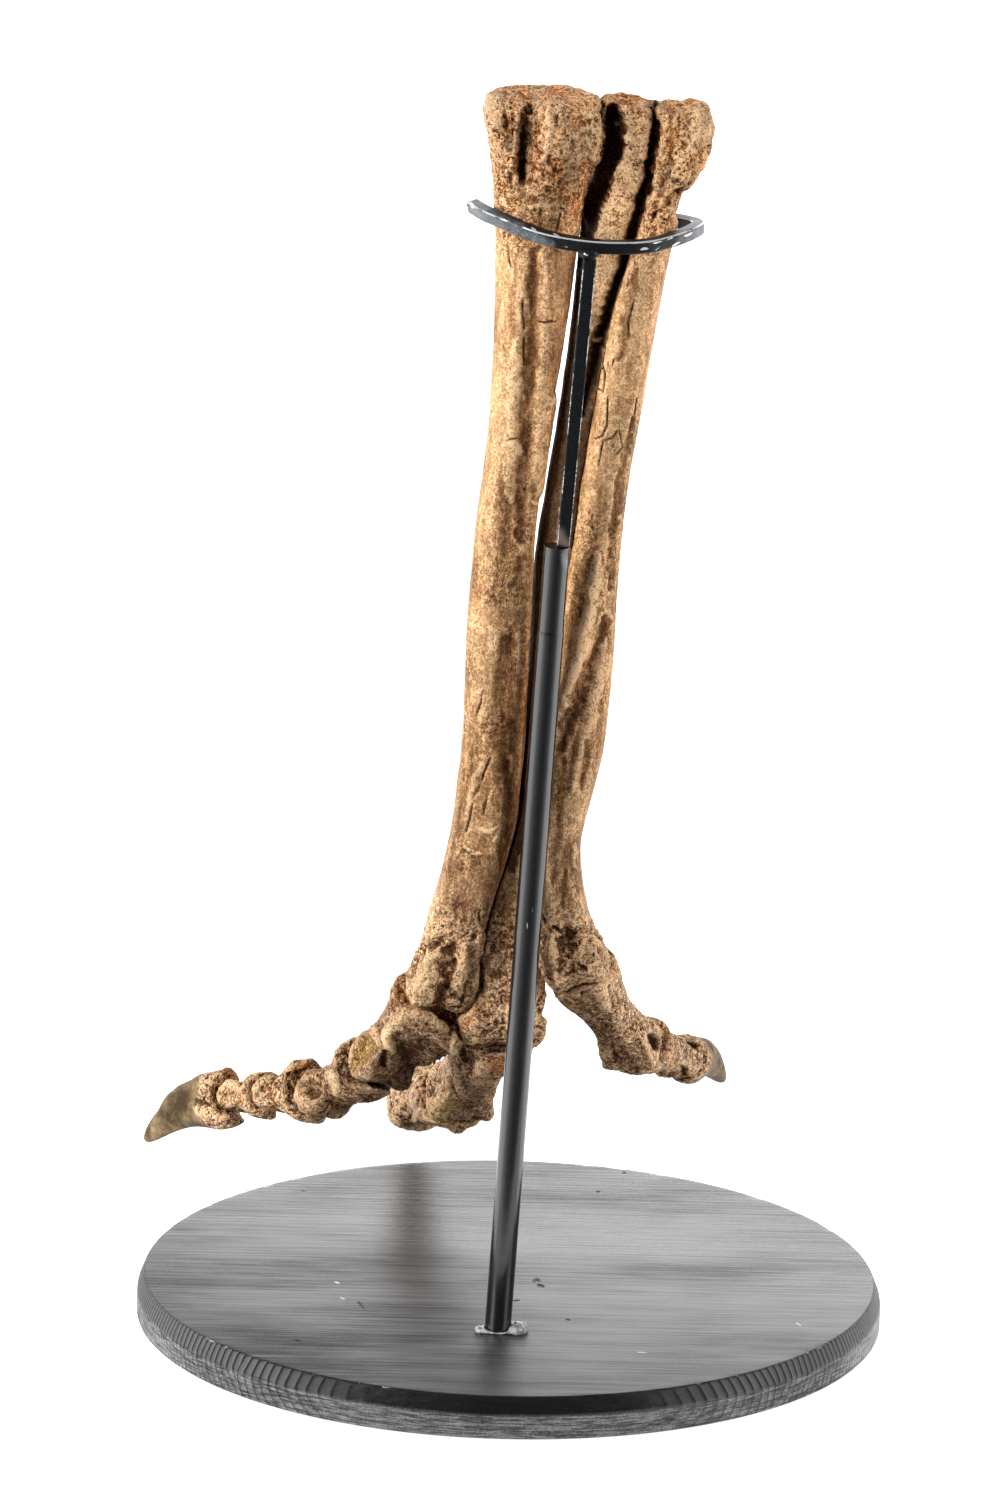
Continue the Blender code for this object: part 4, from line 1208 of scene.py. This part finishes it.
def cut_rows(heights):
    """Cut the mesh in edit mode across its height, at each given height."""
    for height in heights:
        bpy.ops.mesh.select_all(action="SELECT")
        bpy.ops.mesh.bisect(plane_co=(0.0, 0.0, height), plane_no=(0.0, 0.0, 1.0))


def mark_steel(piece, node, roughness=0.05, edges=None):
    """Work marks, rubbed edges that also paint their highlights, and slight unevenness into a steel piece.
    """
    work = Sculpture(piece, "metal", "burnt", "dusty")
    work.push(roughness * layered_noise(work.places, 0.006, 31))
    work.refresh()
    work.mark_all(STEEL_MARKS[node])
    work.refresh()
    # Edges rubbed to bare metal, which also stands as their painted highlights
    if edges:
        level = np.hypot(work.normals[:, 0], work.normals[:, 1])
        pairs = {"upper": (work.normals[:, 2], level), "upright": np.abs(work.normals[:, :2]).T}
        corner = smooth_share(np.minimum(*pairs[edges]), 0.38, 0.62)
        patchy = smooth_share(layered_noise(work.places, 0.007, 37), -0.6, 0.2)
        work.deepen("metal", corner * (0.3 + 0.6 * patchy))
    work.store()


class BoneSettings(bpy.types.PropertyGroup):
    """Surface of the bones."""

    long_voxel: bpy.props.FloatProperty(
        name="Long bone detail", description="Mesh size on the long bones", default=0.00063, unit="LENGTH"
    )
    toe_voxel: bpy.props.FloatProperty(
        name="Toe bone detail", description="Mesh size on the toe bones", default=0.00055, unit="LENGTH"
    )
    pore_depth: bpy.props.FloatProperty(
        name="Pore depth", description="Depth of the pores of spongy bone", default=0.0009, unit="LENGTH"
    )
    light_bone: bpy.props.FloatVectorProperty(
        name="Light bone", description="Palest tan", default=(0.60, 0.37, 0.185), subtype="COLOR"
    )
    middle_bone: bpy.props.FloatVectorProperty(
        name="Middle bone", description="Usual tan", default=(0.38, 0.205, 0.092), subtype="COLOR"
    )
    dark_bone: bpy.props.FloatVectorProperty(
        name="Dark bone", description="Darkest brown", default=(0.16, 0.075, 0.032), subtype="COLOR"
    )


class HolderSettings(bpy.types.PropertyGroup):
    """Steel post, bar and ring."""

    paint: bpy.props.FloatVectorProperty(
        name="Paint", description="Black paint", default=(0.0045, 0.005, 0.0056), subtype="COLOR"
    )
    bright: bpy.props.FloatVectorProperty(
        name="Bare steel",
        description="Steel where the paint is worn",
        default=(0.62, 0.62, 0.64),
        subtype="COLOR",
    )
    bar_size: bpy.props.FloatProperty(
        name="Bar size", description="Width of the square bar", default=0.0048, unit="LENGTH"
    )
    sleeve_share: bpy.props.FloatProperty(
        name="Sleeve height",
        description="Share of the tube that the sleeve covers",
        default=0.892,
        subtype="FACTOR",
    )
    sleeve_step: bpy.props.FloatProperty(
        name="Sleeve step",
        description="How much narrower the tube is above the sleeve",
        default=0.0002,
        unit="LENGTH",
    )


class BaseSettings(bpy.types.PropertyGroup):
    """Wooden base."""

    stain: bpy.props.FloatVectorProperty(
        name="Stain", description="Black stain", default=(0.004, 0.0042, 0.0045), subtype="COLOR"
    )
    worn: bpy.props.FloatVectorProperty(
        name="Worn stain",
        description="Grey where the stain is thin",
        default=(0.020, 0.0205, 0.021),
        subtype="COLOR",
    )
    chamfer_inward: bpy.props.FloatProperty(
        name="Chamfer width", description="How far the chamfer reaches inward", default=0.0026, unit="LENGTH"
    )
    chamfer_down: bpy.props.FloatProperty(
        name="Chamfer depth", description="How far the chamfer reaches down", default=0.0065, unit="LENGTH"
    )
    board_width: bpy.props.FloatProperty(
        name="Board width", description="Width of each glued board", default=0.034, unit="LENGTH"
    )
    board_start: bpy.props.FloatProperty(
        name="Board start", description="Where the row of boards begins", default=0.200, unit="LENGTH"
    )
    ring_width: bpy.props.FloatProperty(
        name="Growth ring", description="Distance between growth rings", default=0.0024, unit="LENGTH"
    )


class StageSettings(bpy.types.PropertyGroup):
    """Floor and lights."""

    left_light: bpy.props.FloatProperty(
        name="Left light", description="Power of the left light", default=58.0
    )
    right_light: bpy.props.FloatProperty(
        name="Right light", description="Power of the right light", default=24.0
    )
    floor_glow: bpy.props.FloatProperty(
        name="Floor", description="Brightness of the lit floor", default=1.0
    )
    floor_dim: bpy.props.FloatProperty(
        name="Dim floor", description="Brightness of the front floor", default=0.03
    )
    dim_spread: bpy.props.FloatProperty(
        name="Spread", description="Width of the dim fan of floor", default=2.4
    )
    side_glow: bpy.props.FloatProperty(
        name="Side floor", description="Brightness of the floor at the sides", default=2.0
    )
    dim_lean: bpy.props.FloatProperty(
        name="Lean", description="How far the dim fan leans right", default=0.2
    )
    floor_dim_at: bpy.props.FloatProperty(
        name="Dim from", description="Where the floor is dimmest", default=-0.275, unit="LENGTH"
    )
    floor_bright_at: bpy.props.FloatProperty(
        name="Bright from", description="Where the floor is fully lit", default=-0.205, unit="LENGTH"
    )
    front_sky: bpy.props.FloatProperty(name="Front", description="Even light from the front", default=0.03)
    side_sky: bpy.props.FloatProperty(name="Sides", description="Even light from the sides", default=0.25)
    back_sky: bpy.props.FloatProperty(name="Back", description="Even light from behind", default=2.5)


class FOSSIL_OT_long_bones(bpy.types.Operator):
    """Sculpt the three long foot bones"""

    bl_idname = "fossil.long_bones"
    bl_label = "Long foot bones"

    def execute(self, context):
        settings = context.scene.fossil_bones
        voxel = settings.long_voxel
        material = bone_material("fossil_bone_long", settings, (1.0, 1.0, 0.12))
        outer = make_bone("metatarsal_4", settings, material, weather_long_bone, 100, voxel)
        inner = make_bone("metatarsal_2", settings, material, weather_long_bone, 300, voxel)
        # Neighbour, its side, lowest and highest millimetre, and how far the bone may be widened
        neighbours = ((outer, -1, 432, 478, 7), (inner, 1, 290, 478, 6))
        make_bone("metatarsal_3", settings, material, weather_long_bone, 200, voxel, neighbours)
        return {"FINISHED"}


class FOSSIL_OT_toe_bones(bpy.types.Operator):
    """Sculpt the bones of the toes"""

    bl_idname = "fossil.toe_bones"
    bl_label = "Toe bones"

    def execute(self, context):
        settings = context.scene.fossil_bones
        material = bone_material("fossil_bone_toe", settings, (1.0, 1.0, 1.0))
        toes = sorted(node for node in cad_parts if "phalanx" in node)
        for seed, node in enumerate(toes):
            make_bone(node, settings, material, weather_toe_bone, 400 + 20 * seed, settings.toe_voxel)
        return {"FINISHED"}


class FOSSIL_OT_claws(bpy.types.Operator):
    """Sculpt the three claws"""

    bl_idname = "fossil.claws"
    bl_label = "Claws"

    def execute(self, context):
        settings = context.scene.fossil_bones
        material = claw_material("fossil_bone_claw", settings)
        for seed, (node, base, tip) in enumerate(CLAW_ENDS):
            weather = functools.partial(weather_claw, base=base, tip=tip)
            make_bone(node, settings, material, weather, 700 + 20 * seed, settings.toe_voxel)
        return {"FINISHED"}


class FOSSIL_OT_base(bpy.types.Operator):
    """Turn the wooden base from its profile"""

    bl_idname = "fossil.base"
    bl_label = "Wooden base"

    def execute(self, context):
        settings = context.scene.fossil_base
        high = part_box("base_disc")[1]
        radius, top = high[0], high[2]
        places = self.profile(settings, radius, top)
        bpy.ops.object.select_all(action="DESELECT")
        bpy.ops.mesh.primitive_circle_add(vertices=3, radius=0.01)
        disc = context.active_object
        mesh = disc.data
        mesh.clear_geometry()
        mesh.from_pydata(places, [(step, step + 1) for step in range(len(places) - 1)], [])
        bpy.ops.object.mode_set(mode="EDIT")
        bpy.ops.mesh.select_all(action="SELECT")
        bpy.ops.mesh.spin(steps=480, angle=2 * math.pi, center=(0.0, 0.0, 0.0), axis=(0.0, 0.0, 1.0))
        bpy.ops.mesh.select_all(action="SELECT")
        bpy.ops.mesh.remove_doubles(threshold=0.00002)
        bpy.ops.mesh.normals_make_consistent(inside=False)
        self.refine(disc)
        bpy.ops.object.mode_set(mode="OBJECT")
        bpy.ops.object.shade_smooth_by_angle(angle=math.radians(40))

        inward, down = settings.chamfer_inward, settings.chamfer_down
        work = Sculpture(disc, "dark", "metal", "worn_edge_and_highlight")
        reach = np.hypot(work.places[:, 0], work.places[:, 1])
        upper_edge = np.hypot(reach - (radius - inward), work.places[:, 2] - top)
        lower_edge = np.hypot(reach - radius, work.places[:, 2] - (top - down))
        chips = smooth_share(layered_noise(work.places, 0.005, 61), 0.1, 0.7)
        near = np.clip(1 - upper_edge / 0.0012, 0, 1)
        nicks = 0.5 * near * chips + 0.25 * np.clip(1 - lower_edge / 0.0015, 0, 1) * chips
        work.push(-nicks)
        # Worn stain and painted highlight along the upper edge of the chamfer
        work.tints["worn_edge_and_highlight"] = np.clip(near * 1.4, 0, 1) * (0.35 + 0.65 * chips)
        work.mark_all(BASE_MARKS)
        work.store()
        name_piece(disc, "wood_base", wood_material("black_stained_wood", settings))
        finish_piece(disc, "black_wood", "base_disc")
        return {"FINISHED"}

    def profile(self, settings, radius, top):
        """Half outline of the disc, from the middle of its top to the middle of its underside."""
        inward, down = settings.chamfer_inward, settings.chamfer_down
        # Rounding of the corners, and the rows of faces on the top: their width and number
        ease, row, number = 0.0004, 0.0022, 60
        rows = [(radius - inward - 0.003 - row * step, top) for step in range(number, -1, -1)]
        for share, lift in ((2, 0), (0.9, 0.1), (0.2, 0.5)):
            rows.append((radius - inward - ease * share, top - ease * lift))
        for step in range(1, 8):
            share = step / 8
            rows.append((radius - inward + inward * share, top - down * share))
        rows += [(radius - 0.2 * ease, top - down - ease), (radius, top - down - 3 * ease)]
        straight = top - down - 4 * ease
        rows += [(radius, straight - (straight - 0.001) * step / 8) for step in range(9)]
        rows += [(radius - 0.3 * ease, 0.0005), (radius - 0.0008, 0.0), (radius - 0.01, 0.0)]
        middle = [(across, 0.0, height) for across, height in rows]
        return [(0.0, 0.0, top), *middle, (0.0, 0.0, 0.0)]

    def refine(self, disc):
        """Subdivide the top where small pits will be sunk."""
        shape = bmesh.from_edit_mesh(disc.data)
        faces = [face for face in shape.faces if face.normal.z > 0.9]
        middles = np.array([face.calc_center_median() for face in faces])
        picture = picture_points(middles)
        bpy.ops.mesh.select_all(action="DESELECT")
        bpy.ops.mesh.select_mode(type="FACE")
        gap = np.min([line_distance(picture, line)[0] for _, _, _, line in BASE_MARKS], axis=0)
        near_in_points = 7
        for face, near in zip(faces, gap < near_in_points):
            face.select = bool(near)
        bmesh.update_edit_mesh(disc.data)
        bpy.ops.mesh.subdivide(number_cuts=5)


class FOSSIL_OT_post(bpy.types.Operator):
    """Make the steel tube and the square bar that stands on it"""

    bl_idname = "fossil.post"
    bl_label = "Steel post"

    def execute(self, context):
        settings = context.scene.fossil_holder
        self.make_tube(context, settings, steel_material("glossy_black_paint", settings, 1.0))
        self.make_bar(context, settings, steel_material("worn_black_paint", settings, 0.0))
        return {"FINISHED"}

    def make_tube(self, context, settings, material):
        """Tube with a sleeve step and a closed, slightly domed top."""
        lower, upper = end_middles("post_tube")
        places = single_points("post_tube")
        axis = np.array((upper - lower).normalized())
        away = places - np.array(lower)
        away = away - (away @ axis)[:, None] * axis
        radius = float(np.linalg.norm(away, axis=1).max())
        length = (upper - lower).length
        bpy.ops.object.select_all(action="DESELECT")
        middle = (0, 0, length / 2)
        bpy.ops.mesh.primitive_cylinder_add(vertices=64, radius=radius, depth=length, location=middle)
        tube = context.active_object
        place_in_mesh(tube)
        bpy.ops.object.mode_set(mode="EDIT")
        step = length * settings.sleeve_share
        slope, row, rounding = 0.0007, 0.0022, 0.0007
        cut_rows((step, step + slope))
        select_between(tube, step + slope / 2, length)
        narrow = 1 - settings.sleeve_step / radius
        bpy.ops.transform.resize(value=(narrow, narrow, 1.0), center_override=(0.0, 0.0, 0.0))
        cut_rows([row * number for number in range(1, int(length / row))])
        select_between(tube, length - 1e-5, length + 1e-5)
        bpy.ops.mesh.bevel(offset=rounding, segments=3, affect="EDGES")
        bpy.ops.object.mode_set(mode="OBJECT")
        stand_between(tube, lower, upper)
        bpy.ops.object.shade_smooth_by_angle(angle=math.radians(40))
        mark_steel(tube, "post_tube")
        name_piece(tube, "steel_tube", material)
        finish_piece(tube, "black_steel", "post_tube")

    def make_bar(self, context, settings, material):
        """Square bar with worn edges, burnt where it is brazed into the tube.

        The bare metal of the worn edges is also a painted highlight along them.
        """
        lower, upper = end_middles("post_bar")
        length = (upper - lower).length
        size = settings.bar_size
        row, rounding = 0.0012, 0.0006
        bpy.ops.object.select_all(action="DESELECT")
        bpy.ops.mesh.primitive_cube_add(size=1.0, location=(0, 0, length / 2), scale=(size, size, length))
        bar = context.active_object
        place_in_mesh(bar)
        bpy.ops.object.mode_set(mode="EDIT")
        bpy.ops.mesh.select_all(action="SELECT")
        bpy.ops.mesh.bevel(offset=rounding, segments=3, affect="EDGES")
        cut_rows([row * number for number in range(1, int(length / row))])
        for axis in ((1.0, 0.0, 0.0), (0.0, 1.0, 0.0)):
            for share in (-0.25, 0.0, 0.25):
                bpy.ops.mesh.select_all(action="SELECT")
                place = tuple(value * share * size for value in axis)
                bpy.ops.mesh.bisect(plane_co=place, plane_no=axis)
        bpy.ops.object.mode_set(mode="OBJECT")
        stand_between(bar, lower, upper)
        bpy.ops.object.shade_smooth_by_angle(angle=math.radians(40))
        mark_steel(bar, "post_bar", 0.04, "upright")
        name_piece(bar, "steel_bar", material)
        finish_piece(bar, "black_steel", "post_bar")


class FOSSIL_OT_ring(bpy.types.Operator):
    """Make the hand-bent open ring and the weld that holds it"""

    bl_idname = "fossil.ring"
    bl_label = "Steel ring"

    def execute(self, context):
        material = bpy.data.materials["worn_black_paint"]
        ring = quad_copy("support_ring", "steel_ring", 12, 60, crease=0.55)
        add_modifier(ring, "smooth bends", "SUBSURF", levels=3, render_levels=3)
        only(ring)
        bpy.ops.object.shade_smooth()
        mark_steel(ring, "support_ring", 0.12, "upper")
        name_piece(ring, "steel_ring", material)
        finish_piece(ring, "black_steel", "support_ring")

        weld = fine_copy("weld_bead", "steel_weld", 0.00025)
        work = Sculpture(weld)
        work.mark_all((WELD_SHIFT,), fresh=True)
        work.push(0.5 * layered_noise(work.places, 0.0024, 71) + 0.9)
        work.store()
        mark_steel(weld, "weld_bead", 0.1)
        name_piece(weld, "steel_weld", material)
        finish_piece(weld, "black_steel", "weld_bead")
        return {"FINISHED"}


class FOSSIL_OT_glue(bpy.types.Operator):
    """Lay the clear glue round the foot of the tube"""

    bl_idname = "fossil.glue"
    bl_label = "Glue"

    def execute(self, context):
        glue = fine_copy("foot_glue", "foot_glue_drops", 0.0003)
        work = Sculpture(glue)
        work.mark_all(GLUE_MARKS, fresh=True)
        work.push(0.2 * layered_noise(work.places, 0.003, 81))
        work.store()
        name_piece(glue, "foot_glue_drops", glue_material("set_glue"))
        finish_piece(glue, "clear_glue", "foot_glue")
        return {"FINISHED"}


class FOSSIL_OT_stage(bpy.types.Operator):
    """Set the floor, the lights and the camera"""

    bl_idname = "fossil.stage"
    bl_label = "Stage"

    def execute(self, context):
        settings = context.scene.fossil_stage
        self.lay_floor(context, settings)
        self.light_sky(context, settings)
        self.hang_lamps(context, settings)
        self.set_camera(context)
        context.scene.view_settings.view_transform = "Standard"
        return {"FINISHED"}

    def lay_floor(self, context, settings):
        """Bright floor with a dim fan in front, which the tube mirrors outside the picture."""
        bpy.ops.object.select_all(action="DESELECT")
        bpy.ops.mesh.primitive_plane_add(size=30.0, location=(0.0, 0.0, 0.0))
        floor = context.active_object
        material, tree, shader = shader_nodes("white_floor")
        across, ahead, _ = split_node(object_place(tree))
        band = range_node(ahead, settings.floor_dim_at, settings.floor_bright_at, curve="SMOOTHSTEP")
        # The fan brightens from where a place is this share as far aside as it is in front
        fan_start, fan_curve, least_ahead = 0.1, 1.6, 0.02
        aside = math_node("ABSOLUTE", plus(across, times(ahead, settings.dim_lean)))
        before = math_node("MAXIMUM", times(ahead, -1.0), least_ahead)
        fan = range_node(math_node("DIVIDE", aside, before), fan_start, settings.dim_spread)
        beside = times(math_node("POWER", fan, fan_curve), settings.side_glow)
        # The floor glows: painted light, bright behind and at the sides, with a dim fan painted in front
        lit = times(math_node("MAXIMUM", band, beside), settings.floor_glow - settings.floor_dim)
        values = {
            "Base Color": (0.03, 0.03, 0.03),
            "Roughness": 0.9,
            "Emission Color": (1.0, 1.0, 1.0),
            "Emission Strength": plus(lit, settings.floor_dim),
        }
        for label, value in values.items():
            feed(shader, label, value)
        name_piece(floor, "floor", material)

    def light_sky(self, context, settings):
        """Light that grows from 0, straight in front, to 1, straight behind."""
        world = bpy.data.worlds.new("studio")
        world.use_nodes = True
        tree = world.node_tree
        direction = split_node(tree.nodes.new("ShaderNodeTexCoord").outputs["Generated"])
        sky = ramp_node(
            plus(times(direction["Y"], 0.5), 0.5),
            (0.0, settings.front_sky),
            (0.45, settings.side_sky),
            (0.85, settings.back_sky * 0.3),
            (0.93, settings.back_sky * 0.75),
            (0.98, settings.back_sky),
        )
        feed(tree.nodes["Background"], "Color", sky)
        context.scene.world = world

    def hang_lamps(self, context, settings):
        """Two soft boxes, one at each side in front."""
        lamps = (
            ("left_box", (-1.55, -0.9, 1.05), (-0.02, -0.03, 0.3), settings.left_light),
            ("right_box", (1.5, -0.8, 0.95), (0.03, -0.03, 0.3), settings.right_light),
        )
        for name, place, aim, power in lamps:
            light = bpy.data.lights.new(name, "AREA")
            light.shape = "RECTANGLE"
            light.size, light.size_y = 0.9, 1.2
            light.energy = power
            lamp = bpy.data.objects.new(name, light)
            context.scene.collection.objects.link(lamp)
            lamp.location = place
            lamp.rotation_euler = (Vector(aim) - Vector(place)).to_track_quat("-Z", "Y").to_euler()

    def set_camera(self, context):
        """Camera that sees what the photograph shows."""
        view = bpy.data.cameras.new("camera")
        view.lens = CAMERA_LENS
        view.sensor_fit = "AUTO"
        view.sensor_width = CAMERA_SENSOR
        view.clip_end = 100.0
        camera = bpy.data.objects.new("camera", view)
        context.scene.collection.objects.link(camera)
        camera.matrix_world = camera_matrix()
        context.scene.camera = camera


class FOSSIL_PT_panel(bpy.types.Panel):
    """Buttons and settings of the mounted fossil foot"""

    bl_label = "Fossil foot"
    bl_idname = "FOSSIL_PT_panel"
    bl_space_type = "VIEW_3D"
    bl_region_type = "UI"
    bl_category = "Fossil foot"

    def draw(self, context):
        layout = self.layout
        for operator in OPERATORS:
            layout.operator(operator.bl_idname)
        for group in GROUPS:
            settings = getattr(context.scene, group)
            for name in settings.__annotations__:
                layout.prop(settings, name)


OPERATORS = (
    FOSSIL_OT_long_bones,
    FOSSIL_OT_toe_bones,
    FOSSIL_OT_claws,
    FOSSIL_OT_base,
    FOSSIL_OT_post,
    FOSSIL_OT_ring,
    FOSSIL_OT_glue,
    FOSSIL_OT_stage,
)
GROUPS = {
    "fossil_bones": BoneSettings,
    "fossil_holder": HolderSettings,
    "fossil_base": BaseSettings,
    "fossil_stage": StageSettings,
}


def register():
    """Make the settings, buttons and panel known to Blender."""
    for group in GROUPS.values():
        bpy.utils.register_class(group)
    for operator in OPERATORS:
        bpy.utils.register_class(operator)
    bpy.utils.register_class(FOSSIL_PT_panel)
    for name, group in GROUPS.items():
        setattr(bpy.types.Scene, name, bpy.props.PointerProperty(type=group))


def unregister():
    """Take the settings, buttons and panel away again."""
    for name in GROUPS:
        delattr(bpy.types.Scene, name)
    bpy.utils.unregister_class(FOSSIL_PT_panel)
    for operator in reversed(OPERATORS):
        bpy.utils.unregister_class(operator)
    for group in reversed(list(GROUPS.values())):
        bpy.utils.unregister_class(group)


def main():
    """Build every piece and the stage."""
    register()
    bpy.ops.fossil.long_bones()
    bpy.ops.fossil.toe_bones()
    bpy.ops.fossil.claws()
    bpy.ops.fossil.base()
    bpy.ops.fossil.post()
    bpy.ops.fossil.ring()
    bpy.ops.fossil.glue()
    bpy.ops.fossil.stage()


if __name__ == "__main__":
    main()
